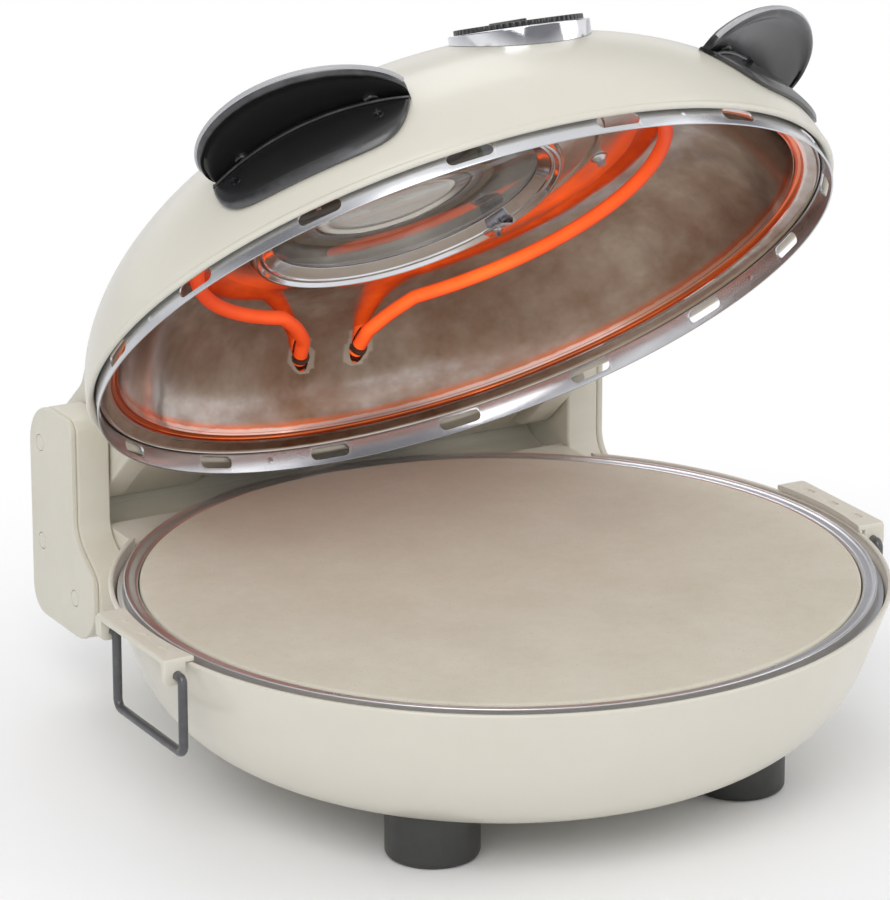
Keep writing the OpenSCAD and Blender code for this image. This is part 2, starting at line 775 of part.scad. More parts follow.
// Hinge arms: a flat ear on each side, from the dome's flank back to the hinge line
root_y = 72;
root_h = 56;
back_y = 118;
back_h = 64;
module hinge_arm() {
    p = [hinge_y, hinge_z - lid_z];
    difference() {
        union() {
            slab_x(arm_in, arm_w, concat([p], [p - apron_low], arc(p, barrel_r, barrel_a0, barrel_a1, 2 * bend_n)));
            slab_x(arm_in, arm_w, rounded([
                [root_y, 5, 2],
                [p[0] + arm_rear, p[1] - arm_eye, arm_eye - 0.5],
                [p[0] + arm_rear, p[1] + arm_up, arm_round],
                [p[0] - 17, p[1] + arm_up, 14],
                [back_y, back_h, 14],
                [root_y, root_h, 2]
            ]));
        }
        translate([arm_in - past, p[0], p[1]]) rotate([0, 90, 0])
            cylinder(r = pin_r + pin_gap, h = arm_w + 2 * past, $fn = small_fn);
        lid_space();
    }
}
module hinge_arm_right() { color(CREAM) at_lid() hinge_arm(); }
module hinge_arm_left() { color(CREAM) at_lid() mirror([1, 0, 0]) hinge_arm(); }

// Apron between the arms: a hollow cover round the hinge line that closes the gap behind the dome
apron_h = 42;
// Its lower edge is relieved in the middle, where it would meet the rim when the lid stands upright
relief_r = lip_r - past;
relief_from = 16;
module apron_block(inset, ends) {
    p = [hinge_y, hinge_z - lid_z];
    r = barrel_r - inset;
    w = 2 * (arm_in - touch) - 2 * ends;
    slab_x(-w / 2, w, concat(
        [[p[0] - apron_low[0] - 40, p[1] - apron_low[1] + inset], [p[0] - apron_low[0], p[1] - apron_low[1] + inset]],
        arc(p, r, barrel_a0, barrel_a1, 2 * bend_n),
        [[p[0] + 6, apron_h - inset], [p[0] - apron_low[0] - 40, apron_h - inset]]
    ));
}
module hinge_apron() {
    color(CREAM) at_lid() difference() {
        apron_block(0, 0);
        apron_block(housing_t, -past);
        lid_space();
        translate([0, hinge_y + relief_from, hinge_z - lid_z - hinge_y]) rotate([-90, 0, 0])
            cylinder(r = relief_r, h = 2 * barrel_r, $fn = round_fn);
    }
}

// Slotted collar
module slot() {
    run = slot_l - slot_w;
    translate([collar_r - 6, 0, collar_h / 2]) rotate([90, 0, 90]) linear_extrude(12) {
        square([run, slot_w], center = true);
        for (s = [-1, 1]) translate([s * run / 2, 0]) circle(d = slot_w, $fn = small_fn);
    }
}

rivet_r = 1.5;
rivet_n = 4;
module rivet_ways(r, out, h) {
    for (i = [0:rivet_n - 1]) rotate([0, 0, (i * slot_n / rivet_n + 0.5) * 360 / slot_n])
        translate([out, 0, collar_h / 2]) rotate([0, 90, 0]) cylinder(r = r, h = h, $fn = small_fn);
}

module collar() {
    color(CHROME) at_lid() difference() {
        turned([[collar_r - collar_t, 0], [collar_r - collar_taper - collar_t, collar_h]], -collar_t);
        for (i = [0:slot_n - 1]) rotate([0, 0, i * 360 / slot_n]) slot();
        rivet_ways(rivet_r + touch / 4, collar_r - 6, 12);
    }
}

module collar_rivets() {
    mid = collar_r - collar_taper / 2;
    color(STEEL) at_lid() {
        rivet_ways(rivet_r, mid - collar_t - 0.8, collar_t + 1.2);
        rivet_ways(rivet_r + 0.8, mid - collar_t - 1.25, 0.7);
    }
}

// Reflector: flange, rolled bead, curved wall and flat top in one sheet
crown_r = refl_r - 56.3;
bulge = [refl_r - 17.3, refl_h - 8];
bead_in = 1.8;
function refl_path() = concat(
    [[flange_r - refl_t, collar_h - 1.5], [flange_r - 1 - refl_t, collar_h], [refl_r + 2 * bead_in, refl_z - 1.6]],
    arc([refl_r + 0.8, refl_z - 1], bead_in, -20, 160, 6),
    bezier([refl_r - 1.6, refl_z + 1.4], bulge, [crown_r, refl_h]),
    [[0, refl_h]]
);
hole_r = 4.5;
wall_at = refl_r - 23.3;
wall_up = refl_h - 16.5;
bevel_r = glass_r + window_w;

// The upper element: most of a ring, and two legs that run in to the back wall of the reflector
leg_gap = 36;
leg_open = asin(leg_gap / upper_r);
leg_from = [leg_gap - 3, upper_r * cos(leg_open) + 1.6, upper_h];
leg_turn = [22.5, (upper_r * cos(leg_open) + wall_at) / 2 - 4, upper_h - 2.4];
leg_wall = [15.2, wall_at, wall_up];
leg_run = unit([-1, 6.5, -1.6]);
leg_path = concat(
    [leg_from],
    bezier(leg_from + 0.55 * (leg_turn - leg_from), leg_turn, leg_wall - 9 * leg_run, 6),
    [leg_wall - 5 * leg_run, leg_wall + 6 * leg_run]
);

// A straight run along the leg's last stretch, through the reflector's wall
module wall_way(r, back, on) {
    both_sides() rod(leg_wall - back * leg_run, leg_wall + on * leg_run, r);
}

module reflector() {
    color(CHROME) at_lid() difference() {
        turned(refl_path(), -refl_t);
        wall_way(hole_r, 9, 9);
        translate([0, window_y, refl_h - past]) cylinder(r = glass_r + 2.2, h = 5, $fn = round_fn);
        for (p = screw_at) translate([p[0], p[1], refl_h - past])
            cylinder(r = screw_r + touch, h = 5, $fn = small_fn);
    }
}

module upper_element() {
    color(GLOW) at_lid() tube(element_path(upper_r, upper_h, leg_open, leg_path), tube_r);
}

module upper_terminals() {
    color(CERAMIC) at_lid() difference() {
        wall_way(hole_r - touch, 1.4, 2.4);
        wall_way(tube_r + touch + 0.1, 3, 4);
    }
}

screw_at = [[85.5, -3.5], [-85.5, -3.5], [38, -82], [-38, -82]];
module reflector_screws() {
    color(STEEL) at_lid() for (p = screw_at) translate([p[0], p[1], refl_h]) {
        intersection() {
            translate([0, 0, 2.2]) sphere(r = 4.2, $fn = small_fn);
            translate([0, 0, -3]) cylinder(r = 3.6, h = 3, $fn = small_fn);
        }
        translate([0, 0, -touch]) cylinder(r = screw_r, h = 8, $fn = small_fn);
    }
}

// Insulation: a ring that fills the room above the reflector's shoulder
module insulation() {
    wool_in = bevel_r + window_y + 4;
    wool_out = crown_r + 25;
    color(WOOL) at_lid() intersection() {
        dome_solid(dome_t + 3, 0);
        difference() {
            translate([0, 0, refl_h + 2]) cylinder(r = wool_out, h = dome_h, $fn = round_fn);
            cylinder(r = wool_in, h = 2 * dome_h, $fn = round_fn);
            at_knob() translate([0, 0, -40]) cylinder(r = 26, h = 60, $fn = small_fn);
            for (p = screw_at) translate([p[0], p[1], refl_h]) cylinder(r = 3, h = 10, $fn = small_fn);
        }
    }
}

// Window: inner glass in a steel ring, a tube up to the dome, and the outer glass
module window_ring() {
    g = glass_r;
    color(CHROME) at_lid() translate([0, window_y, 0]) rotate_extrude($fn = round_fn) polygon([
        [g - 3, refl_h + 2.4], [g + 0.5, refl_h + 0.2], [g + 1.8, refl_h - 0.6], [g + 2.2, refl_h - 1.4],
        [g + 3.8, refl_h - 1.2], [g + 5, refl_h - 3.2], [g + 6.4, refl_h - 3.2], [bevel_r, refl_h - 0.8],
        [bevel_r, refl_h - touch], [g + 2, refl_h - touch], [g + 2, refl_h + 3.2], [g - 3, refl_h + 3.2]
    ]);
}

module inner_glass() {
    color(GLASS) at_lid() translate([0, window_y, refl_h + 3.2]) cylinder(r = glass_r + 1, h = glass_t, $fn = round_fn);
}

clip_at = 28;
clip_l = 14;
module window_clips() {
    color(STEEL) at_lid() translate([0, window_y, 0]) for (i = [0:clip_n - 1])
        rotate([0, 0, clip_at + i * 360 / clip_n]) {
            translate([glass_r - 4, -clip_l / 2, refl_h - 3.9]) cube([9, clip_l, 0.7]);
            translate([glass_r + 1, 0, refl_h - 4.9]) cylinder(r = 2.2, h = 1, $fn = small_fn);
        }
}

tube_out = glass_r + 3;
module window_tube() {
    low = refl_h + refl_t;
    color(STEEL) at_lid() intersection() {
        dome_solid(dome_t + touch / 2, 0);
        translate([0, window_y, low]) difference() {
            cylinder(r = tube_out, h = dome_h, $fn = round_fn);
            translate([0, 0, -past]) cylinder(r = tube_out - pan_t, h = dome_h + 2 * past, $fn = round_fn);
        }
    }
}

module outer_ring() {
    g = glass_r;
    // The ring's outer edge rests on the dome, which falls away here by about this much
    seat_drop = dome_top(window_y + outer_r + 3) - window_top + (outer_r + 3) * tan(window_lean);
    color(CHROME) at_lid() difference() {
        at_window() rotate_extrude($fn = round_fn) polygon([
            [g - touch, -4.2], [g - touch, 0.4], [outer_r + 3, seat_drop], [outer_r + 2.4, 1.2],
            [outer_r - 1, 2.8], [g - 1, 2.8], [g - 2.5, 1.6], [g - 2.5, 0], [g - 3, -4.2]
        ]);
        difference() {
            dome_solid(-touch / 2, -past);
            at_window() translate([0, 0, -40]) cylinder(r = g, h = 80, $fn = round_fn);
        }
    }
}

module outer_glass() {
    color(GLASS) at_lid() at_window() translate([0, 0, -4]) cylinder(r = glass_r - 3.2, h = glass_t + 1.4, $fn = round_fn);
}

// Control knob in its bezel, with the thermostat below the dome
module knob_bezel() {
    color(CHROME) at_lid() difference() {
        at_knob() difference() {
            translate([0, 0, -12]) cylinder(r = bezel_r, h = bezel_h + 12, $fn = round_fn);
            translate([0, 0, dial_low - touch]) cylinder(r = dial_r + 0.6, h = bezel_h + 5, $fn = round_fn);
            translate([0, 0, -20]) cylinder(r = shaft_r + 1, h = 40, $fn = small_fn);
        }
        dome_solid(-touch, -past);
    }
}

module knob_dial() {
    rib = 0.5;
    color(BLACK) at_lid() at_knob() {
        translate([0, 0, dial_low]) cylinder(r = dial_r - rib, h = bezel_h + dial_up - dial_low, $fn = round_fn);
        for (i = [0:rib_n - 1]) rotate([0, 0, i * 360 / rib_n]) translate([dial_r - 1.6, -0.6, dial_low + 0.4])
            cube([1.6, 1.2, bezel_h + dial_up - dial_low - 0.8]);
        translate([-1.4, 0, bezel_h + dial_up]) cube([2.8, dial_r - 4, 1.2]);
        translate([0, 0, -7.5]) cylinder(r = shaft_r, h = 12, $fn = small_fn);
    }
}

module lid_thermostat() {
    color(STEEL) at_lid() at_knob() translate([0, 0, -9.5]) difference() {
        cylinder(r = 10, h = 6, $fn = small_fn);
        translate([0, 0, 1.5]) cylinder(r = shaft_r + pin_gap, h = 6, $fn = small_fn);
    }
}

// Lid handles: a flange that follows the dome, and a half-moon blade that stands out from it
ridge_h = 47;
flange_low = 20;
flange_n = 8;
leaf_n = 20;
leaf_power = 0.62;
function dome_r_at(h, grow) = grow + dome_rim((h - dome_z) / (dome_h - dome_z));

// The flange's section: its inner side lies on the dome
function flange_section() =
    let (rise = ridge_h + 5 - flange_low,
         low = [for (i = [0:flange_n]) flange_low + rise * i / flange_n])
    concat(
        [for (h = low) [dome_r_at(h, touch), h]],
        [for (i = [flange_n:-1:0]) [dome_r_at(low[i], i == 0 ? flange_t * 0.6 : flange_t), low[i]]]
    );

// The blade's section, from inside the flange out to its rim
function blade_section() =
    let (root = [dome_r_at(ridge_h, touch), ridge_h], u = unit([blade_out, blade_rise]), v = perp(u))
    [root + u, root + u * norm([blade_out, blade_rise]), root + u * norm([blade_out, blade_rise]) + v * blade_t * 0.8,
     root + u * 7 + v * blade_t, root + u + v * (blade_t + 3)];

// The half-moon that the blade shows from above
function leaf() =
    let (r0 = dome_r_at(ridge_h, 0))
    concat(
        [for (i = [0:leaf_n]) let (v = 2 * i / leaf_n - 1, a = handle_at - 90 + v * handle_span / 2)
            (r0 + 2 + blade_out * pow(1 - v * v, leaf_power)) * [cos(a), sin(a)]],
        [for (s = [1, -1]) let (a = handle_at - 90 + s * handle_span / 2) (r0 - 30) * [cos(a), sin(a)]]
    );

module handle_screw_ways(r, sunk, h) {
    up = ridge_h - 13;
    for (s = [-1, 1]) rotate([0, 0, handle_at - 90 + s * handle_span * 0.34])
        translate([dome_r_at(up, flange_t) - sunk, 0, up]) rotate([0, 58, 0]) cylinder(r = r, h = h, $fn = small_fn);
}

module handle() {
    a0 = handle_at - 90 - handle_span / 2;
    half = dome_r_at(flange_low, 0) * sin(handle_span / 2);
    difference() {
        union() {
            intersection() {
                rotate([0, 0, a0 - 4]) rotate_extrude(angle = handle_span + 8, $fn = round_fn) polygon(flange_section());
                rotate([0, 0, handle_at - 90]) slab_x(dome_r_at(dome_h - 20, 0), dome_r, rounded([
                    [-half, flange_low - past, 17], [half, flange_low - past, 17],
                    [half - 2, ridge_h + 6, 5], [2 - half, ridge_h + 6, 5]
                ]));
            }
            intersection() {
                rotate([0, 0, a0 - 4]) rotate_extrude(angle = handle_span + 8, $fn = round_fn) polygon(blade_section());
                linear_extrude(dome_h) polygon(leaf());
            }
        }
        handle_screw_ways(screw_head_r + touch / 2, 0.6, 8);
    }
}
module handle_right() { color(BLACK) at_lid() handle(); }
module handle_left() { color(BLACK) at_lid() mirror([1, 0, 0]) handle(); }

screw_head_r = 2.6;
module handle_screws() {
    handle_screw_ways(screw_head_r, 0.5, 1.4);
}
module handle_screws_right() { color(STEEL) at_lid() handle_screws(); }
module handle_screws_left() { color(STEEL) at_lid() mirror([1, 0, 0]) handle_screws(); }

bowl();
heat_pan();
rim_ring();
baking_stone();
lower_element();
lower_clips();
lower_terminals();
foot_front_left();
foot_front_right();
foot_rear_left();
foot_rear_right();
foot_screws();
rear_housing();
housing_floor();
cord_bushing();
terminal_block();
safety_thermostat();
bracket_left();
bracket_right();
bracket_cover_left();
bracket_cover_right();
cover_plugs_left();
cover_plugs_right();
hinge_pin_left();
hinge_pin_right();
bail_plate_left();
bail_plate_right();
bail_left();
bail_right();
dome();
hinge_arm_left();
hinge_arm_right();
hinge_apron();
collar();
collar_rivets();
reflector();
upper_element();
upper_terminals();
reflector_screws();
insulation();
window_ring();
inner_glass();
window_clips();
window_tube();
outer_ring();
outer_glass();
knob_bezel();
knob_dial();
lid_thermostat();
handle_left();
handle_right();
handle_screws_left();
handle_screws_right();
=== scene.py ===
"""Electric pizza maker: the detailed pieces and finishes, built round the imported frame.

The row frame has its origin on the floor under the middle of the object, with front at -Y and
up at +Z. Pieces are shaped in millimetres, round the bowl's axis or round the lid's own axis
with the collar's lower edge at height 0, and are then placed in metres in the row frame.
"""

import json
import logging
import math
from collections.abc import Iterable, Sequence
from dataclasses import dataclass
from enum import Enum

import bmesh
import bpy
from mathutils import Matrix, Vector


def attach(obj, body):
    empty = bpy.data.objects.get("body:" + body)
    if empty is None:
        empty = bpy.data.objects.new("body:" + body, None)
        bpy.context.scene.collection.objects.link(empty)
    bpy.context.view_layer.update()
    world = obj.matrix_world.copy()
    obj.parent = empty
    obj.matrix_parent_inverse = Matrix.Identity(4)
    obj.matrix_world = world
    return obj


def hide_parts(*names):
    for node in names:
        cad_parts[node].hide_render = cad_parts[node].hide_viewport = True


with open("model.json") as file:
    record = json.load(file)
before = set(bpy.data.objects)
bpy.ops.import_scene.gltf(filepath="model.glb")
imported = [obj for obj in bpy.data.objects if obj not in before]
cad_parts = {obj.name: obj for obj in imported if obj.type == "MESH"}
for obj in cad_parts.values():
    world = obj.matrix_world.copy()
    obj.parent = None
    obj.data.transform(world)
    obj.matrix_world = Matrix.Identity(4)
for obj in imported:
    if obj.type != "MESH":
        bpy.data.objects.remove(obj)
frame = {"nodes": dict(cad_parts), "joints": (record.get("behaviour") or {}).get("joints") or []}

log = logging.getLogger("pizza_maker")
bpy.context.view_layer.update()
MM = 0.001

Point = tuple[float, float]
Corner = tuple[float, float, float]
Colour = tuple[float, float, float]
Light = tuple[float, float, float, float]
Node = bpy.types.Node
Socket = bpy.types.NodeSocket
Takes = dict[str, tuple[str, object]]

# The hinge line, the lid's opening in degrees, the height of the lid's lower edge when it is closed,
# the window's place behind the lid's axis and the height of the rim ring.
HINGE_Y = 163.0
HINGE_Z = 105.0
LID_OPEN = 40.5
LID_Z = 88.0
WINDOW_Y = 22.0
RIM_Z = 87.0

# A height well above the rim, where the shapes that cut the bowl's inside away end.
ABOVE = RIM_Z + 20

# Half angle past which a corner counts as straight, in degrees, the radius below which a point lies
# on the axis, and the distance within which doubles are merged.
STRAIGHT = 89.5
ON_AXIS = 1e-6
MERGE = 1e-4


def base_offset() -> float:
    """Distance of the bowl's axis from the row frame's origin, in millimetres, from the hinge."""
    hinge = next(joint for joint in frame["joints"] if joint["name"] == "lid_hinge")
    return hinge["pos_m"][1] / MM - HINGE_Y


def turn(axis: str, degrees: float) -> Matrix:
    """A rotation about one of the axes."""
    return Matrix.Rotation(math.radians(degrees), 4, axis)


def move(x: float, y: float, z: float) -> Matrix:
    """A shift."""
    return Matrix.Translation((x, y, z))


AT_BASE = Matrix.Scale(MM, 4) @ move(0, base_offset(), 0)
AT_LID = (
    AT_BASE @ move(0, HINGE_Y, HINGE_Z) @ turn("X", -LID_OPEN) @ move(0, -HINGE_Y, LID_Z - HINGE_Z)
)
MIRROR = Matrix.Diagonal((-1, 1, 1, 1))
SIDES: tuple[tuple[str, Matrix], ...] = (("right", Matrix.Identity(4)), ("left", MIRROR))


# ---- Plane outlines, in millimetres


def arc(centre: Point, radius: float, start: float, end: float, steps: int) -> list[Point]:
    """Points on an arc, with angles in degrees.

    Args:
        centre: Middle of the arc.
        radius: Its radius.
        start: Angle of the first point.
        end: Angle of the last point.
        steps: Number of spans between points.

    Returns:
        The points in order.
    """
    angles = [math.radians(start + (end - start) * i / steps) for i in range(steps + 1)]
    return [(centre[0] + radius * math.cos(a), centre[1] + radius * math.sin(a)) for a in angles]


def fillet(before: Vector, at: Vector, after: Vector, radius: float, steps: int) -> list[Point]:
    """Points that round one corner of an outline.

    Args:
        before: The outline's corner before this one.
        at: The corner to round.
        after: The corner after it.
        radius: Radius of the rounding.
        steps: Number of spans on the arc.

    Returns:
        The corner itself where the radius is nothing, and otherwise points on the arc.
    """
    u, v = (before - at).normalized(), (after - at).normalized()
    half = u.angle(v) / 2
    if radius <= 0 or half > math.radians(STRAIGHT):
        return [(at.x, at.y)]
    centre = at + (u + v).normalized() * (radius / math.sin(half))
    reach = radius / math.tan(half)
    first, last = at + u * reach - centre, at + v * reach - centre
    sweep = first.angle_signed(last)
    start = math.atan2(first.y, first.x)
    turns = [start - sweep * i / steps for i in range(steps + 1)]
    return [(centre.x + radius * math.cos(a), centre.y + radius * math.sin(a)) for a in turns]


def rounded(corners: Sequence[Corner], closed: bool = True, steps: int = 8) -> list[Point]:
    """An outline or path whose corners are rounded.

    Args:
        corners: Each corner as x, y and its radius.
        closed: Whether the outline closes on itself.
        steps: Number of spans on each rounded corner.

    Returns:
        The outline's points.
    """
    spots = [Vector((x, y)) for x, y, _ in corners]
    count = len(spots)
    points: list[Point] = []
    for i, (spot, corner) in enumerate(zip(spots, corners)):
        if not closed and i in (0, count - 1):
            points.append((spot.x, spot.y))
        else:
            points += fillet(spots[i - 1], spot, spots[(i + 1) % count], corner[2], steps)
    return points


def beside(path: Sequence[Point], shift: float) -> list[Point]:
    """The path moved sideways, with mitred corners.

    Args:
        path: The points of the path.
        shift: How far it moves, to its left where this is positive.

    Returns:
        The moved points.
    """
    spots = [Vector(p) for p in path]
    runs = [(b - a).normalized() for a, b in zip(spots, spots[1:])]
    sides = [Vector((-run.y, run.x)) for run in runs]
    moved = []
    for i, spot in enumerate(spots):
        one, two = sides[max(i - 1, 0)], sides[min(i, len(sides) - 1)]
        middle = (one + two).normalized()
        out = spot + middle * (shift / middle.dot(one))
        moved.append((out.x, out.y))
    return moved


def sheet(path: Sequence[Point], thickness: float) -> list[Point]:
    """The closed section of a sheet that has this path as one of its sides."""
    return list(path) + beside(path, thickness)[::-1]


def bezier(a: Point, b: Point, c: Point, steps: int) -> list[Point]:
    """Points on a curve that bends towards its middle point.

    Args:
        a: Where it starts.
        b: The point that it bends towards.
        c: Where it ends.
        steps: Number of spans between points.

    Returns:
        The points in order.
    """
    shares = [i / steps for i in range(steps + 1)]
    return [
        tuple((1 - t) ** 2 * p + 2 * t * (1 - t) * q + t * t * r for p, q, r in zip(a, b, c)) for t in shares
    ]


# ---- Solid shapes


class Way(Enum):
    """The direction in which an outline is drawn out to a slab."""

    X = "x"
    Y = "y"
    Z = "z"

    def spot(self, point: Point, depth: float) -> tuple[float, float, float]:
        """The outline's point at a given depth.

        Args:
            point: The outline's point.
            depth: How far along this direction it lies.

        Returns:
            The point in space.
        """
        if self is Way.X:
            return (depth, point[0], point[1])
        if self is Way.Y:
            return (point[0], depth, point[1])
        return (point[0], point[1], depth)


class Shape:
    """A solid in the making, in millimetres, that bmesh operators shape."""

    def __init__(self) -> None:
        """Starts with nothing."""
        self.mesh = bmesh.new()

    def lathe(self, profile: Sequence[Point], steps: int = 240) -> "Shape":
        """Turns a closed profile of radius and height round the Z axis.

        Args:
            profile: The section's points as radius and height.
            steps: Number of steps of the turn.

        Returns:
            This shape.
        """
        verts = [self.mesh.verts.new((radius, 0, height)) for radius, height in profile]
        pairs = zip(verts, verts[1:] + verts[:1])
        edges = [self.mesh.edges.new(pair) for pair in pairs if max(pair[0].co.x, pair[1].co.x) > ON_AXIS]
        bmesh.ops.spin(
            self.mesh, geom=verts + edges, cent=(0, 0, 0), axis=(0, 0, 1), dvec=(0, 0, 0),
            angle=math.tau, steps=steps, use_merge=True, use_duplicate=False,
        )
        return self.tidy()

    def slab(
        self, outline: Sequence[Point], low: float, high: float, way: Way = Way.Z,
        edge: float = 0.0, segments: int = 3,
    ) -> "Shape":
        """Draws an outline out to a slab, and rounds the edges of its two faces.

        Args:
            outline: The closed outline.
            low: Where the slab starts.
            high: Where it ends.
            way: The direction that it is drawn out in.
            edge: Radius of its rounded edges.
            segments: Steps across a rounded edge.

        Returns:
            This shape.
        """
        verts = [self.mesh.verts.new(way.spot(p, low)) for p in outline]
        face = self.mesh.faces.new(verts)
        grown = bmesh.ops.extrude_face_region(self.mesh, geom=[face])["geom"]
        moved = [item for item in grown if isinstance(item, bmesh.types.BMVert)]
        bmesh.ops.translate(self.mesh, verts=moved, vec=way.spot((0, 0), high - low))
        if edge > 0:
            faces = [item for item in grown if isinstance(item, bmesh.types.BMFace)]
            far = [item for item in faces if len(item.verts) == len(verts)]
            ends = set(face.edges) | {rim for item in far for rim in item.edges}
            bmesh.ops.bevel(
                self.mesh, geom=list(ends), offset=edge, offset_type="OFFSET", affect="EDGES",
                segments=segments, profile=0.5, material=-1, clamp_overlap=True,
            )
        return self.tidy()

    def loft(self, loops: Sequence[Sequence[Vector]]) -> "Shape":
        """Bridges closed loops of equal count in order, and closes both ends.

        Args:
            loops: The sections, each a closed loop of points.

        Returns:
            This shape.
        """
        rings = []
        for loop in loops:
            verts = [self.mesh.verts.new(point) for point in loop]
            rings.append([self.mesh.edges.new(pair) for pair in zip(verts, verts[1:] + verts[:1])])
        for one, two in zip(rings, rings[1:]):
            bmesh.ops.bridge_loops(self.mesh, edges=one + two, use_pairs=False)
        for ring in (rings[0], rings[-1]):
            bmesh.ops.contextual_create(self.mesh, geom=ring)
        return self.tidy()

    def place(self, matrix: Matrix) -> "Shape":
        """Moves or turns all that is there so far."""
        bmesh.ops.transform(self.mesh, matrix=matrix, verts=self.mesh.verts[:])
        return self.tidy() if matrix.determinant() < 0 else self

    def add(self, other: "Shape", matrix: Matrix = Matrix.Identity(4)) -> "Shape":
        """Takes in a copy of another shape, placed by the matrix.

        Args:
            other: The shape to copy.
            matrix: Where the copy goes.

        Returns:
            This shape.
        """
        carrier = bpy.data.meshes.new("carrier")
        other.mesh.to_mesh(carrier)
        carrier.transform(matrix)
        if matrix.determinant() < 0:
            carrier.flip_normals()
        self.mesh.from_mesh(carrier)
        bpy.data.meshes.remove(carrier)
        return self

    def tidy(self) -> "Shape":
        """Merges doubles and turns all faces outwards."""
        bmesh.ops.remove_doubles(self.mesh, verts=self.mesh.verts[:], dist=MERGE)
        bmesh.ops.recalc_face_normals(self.mesh, faces=self.mesh.faces[:])
        return self

    def thing(self, name: str) -> bpy.types.Object:
        """Makes the shape an object, still in millimetres.

        Args:
            name: The object's name.

        Returns:
            The object.
        """
        mesh = bpy.data.meshes.new(name)
        self.mesh.to_mesh(mesh)
        thing = bpy.data.objects.new(name, mesh)
        bpy.context.scene.collection.objects.link(thing)
        return thing

    def carved(self, *cutters: "Shape", joins: Iterable["Shape"] = ()) -> "Shape":
        """Joins other shapes to this one, then cuts shapes away from it.

        Args:
            *cutters: Shapes to cut away.
            joins: Shapes to join first.

        Returns:
            The new shape.
        """
        target = self.thing("target")
        tools = []
        for operation, shapes in (("UNION", joins), ("DIFFERENCE", cutters)):
            for shape in shapes:
                tool = shape.thing("tool")
                tools.append(tool)
                step = target.modifiers.new("step", "BOOLEAN")
                step.operation, step.solver, step.object = operation, "EXACT", tool
        bpy.context.view_layer.update()
        ready = target.evaluated_get(bpy.context.evaluated_depsgraph_get())
        mesh = bpy.data.meshes.new_from_object(ready)
        result = Shape()
        result.mesh.from_mesh(mesh)
        for thing in (target, *tools):
            bpy.data.meshes.remove(thing.data)
        bmesh.ops.remove_doubles(result.mesh, verts=result.mesh.verts[:], dist=MERGE)
        return result


def rod(path: Sequence[Vector], radius: float, sides: int = 6) -> Shape:
    """A round bar along a path of points.

    Args:
        path: The points of its middle line.
        radius: Its radius.
        sides: Roundness of its section.

    Returns:
        The bar.
    """
    curve = bpy.data.curves.new("rod", "CURVE")
    curve.dimensions = "3D"
    curve.bevel_depth = radius
    curve.bevel_resolution = sides
    curve.use_fill_caps = True
    spline = curve.splines.new("POLY")
    spline.points.add(len(path) - 1)
    for point, spot in zip(spline.points, path):
        point.co = (*spot, 1)
    holder = bpy.data.objects.new("rod", curve)
    bpy.context.scene.collection.objects.link(holder)
    bpy.context.view_layer.update()
    mesh = bpy.data.meshes.new_from_object(holder.evaluated_get(bpy.context.evaluated_depsgraph_get()))
    shape = Shape()
    shape.mesh.from_mesh(mesh)
    bpy.data.objects.remove(holder)
    bpy.data.curves.remove(curve)
    return shape.tidy()


def disc(radius: float, low: float, high: float, edge: float = 0.0, steps: int = 96) -> Shape:
    """A round disc or cylinder on the Z axis, with rounded edges.

    Args:
        radius: Its radius.
        low: Height of its lower face.
        high: Height of its upper face.
        edge: Radius of its rounded edges.
        steps: Number of steps round it.

    Returns:
        The disc.
    """
    corners = [(0, low, 0), (radius, low, edge), (radius, high, edge), (0, high, 0)]
    return Shape().lathe(rounded(corners, closed=False, steps=5), steps)


def block(low: Sequence[float], high: Sequence[float]) -> Shape:
    """A box between two corners."""
    outline = [(low[0], low[1]), (high[0], low[1]), (high[0], high[1]), (low[0], high[1])]
    return Shape().slab(outline, low[2], high[2])


def bolt_head(radius: float, height: float, cross: float) -> Shape:
    """A domed screw head on the Z axis with a cross recess, and its shank below.

    Args:
        radius: The head's radius.
        height: The head's height.
        cross: Half the length of the recess.

    Returns:
        The head with its shank.
    """
    bulge, start, shank, shank_low, slot, depth = radius * 1.35, 0.62, radius * 0.5, -1.2, 0.34, 0.9
    stem = [(0, shank_low), (shank, shank_low), (shank, 0), (radius, 0), (radius, height * 0.35)]
    dome = arc((0, height - bulge), bulge, math.degrees(math.asin(start)), 90, 8)
    head = Shape().lathe(stem + dome, 48)
    bars = [block((-a, -b, height - depth), (a, b, height + 2)) for a, b in ((cross, slot), (slot, cross))]
    return head.carved(*bars)


# ---- Materials


def linear(colour: Colour) -> Light:
    """Turns a colour as it is seen, from 0 to 255, into the linear values that shaders take."""
    shares = [value / 255.0 for value in colour]
    values = [s / 12.92 if s <= 0.04045 else ((s + 0.055) / 1.055) ** 2.4 for s in shares]
    return (*values, 1.0)


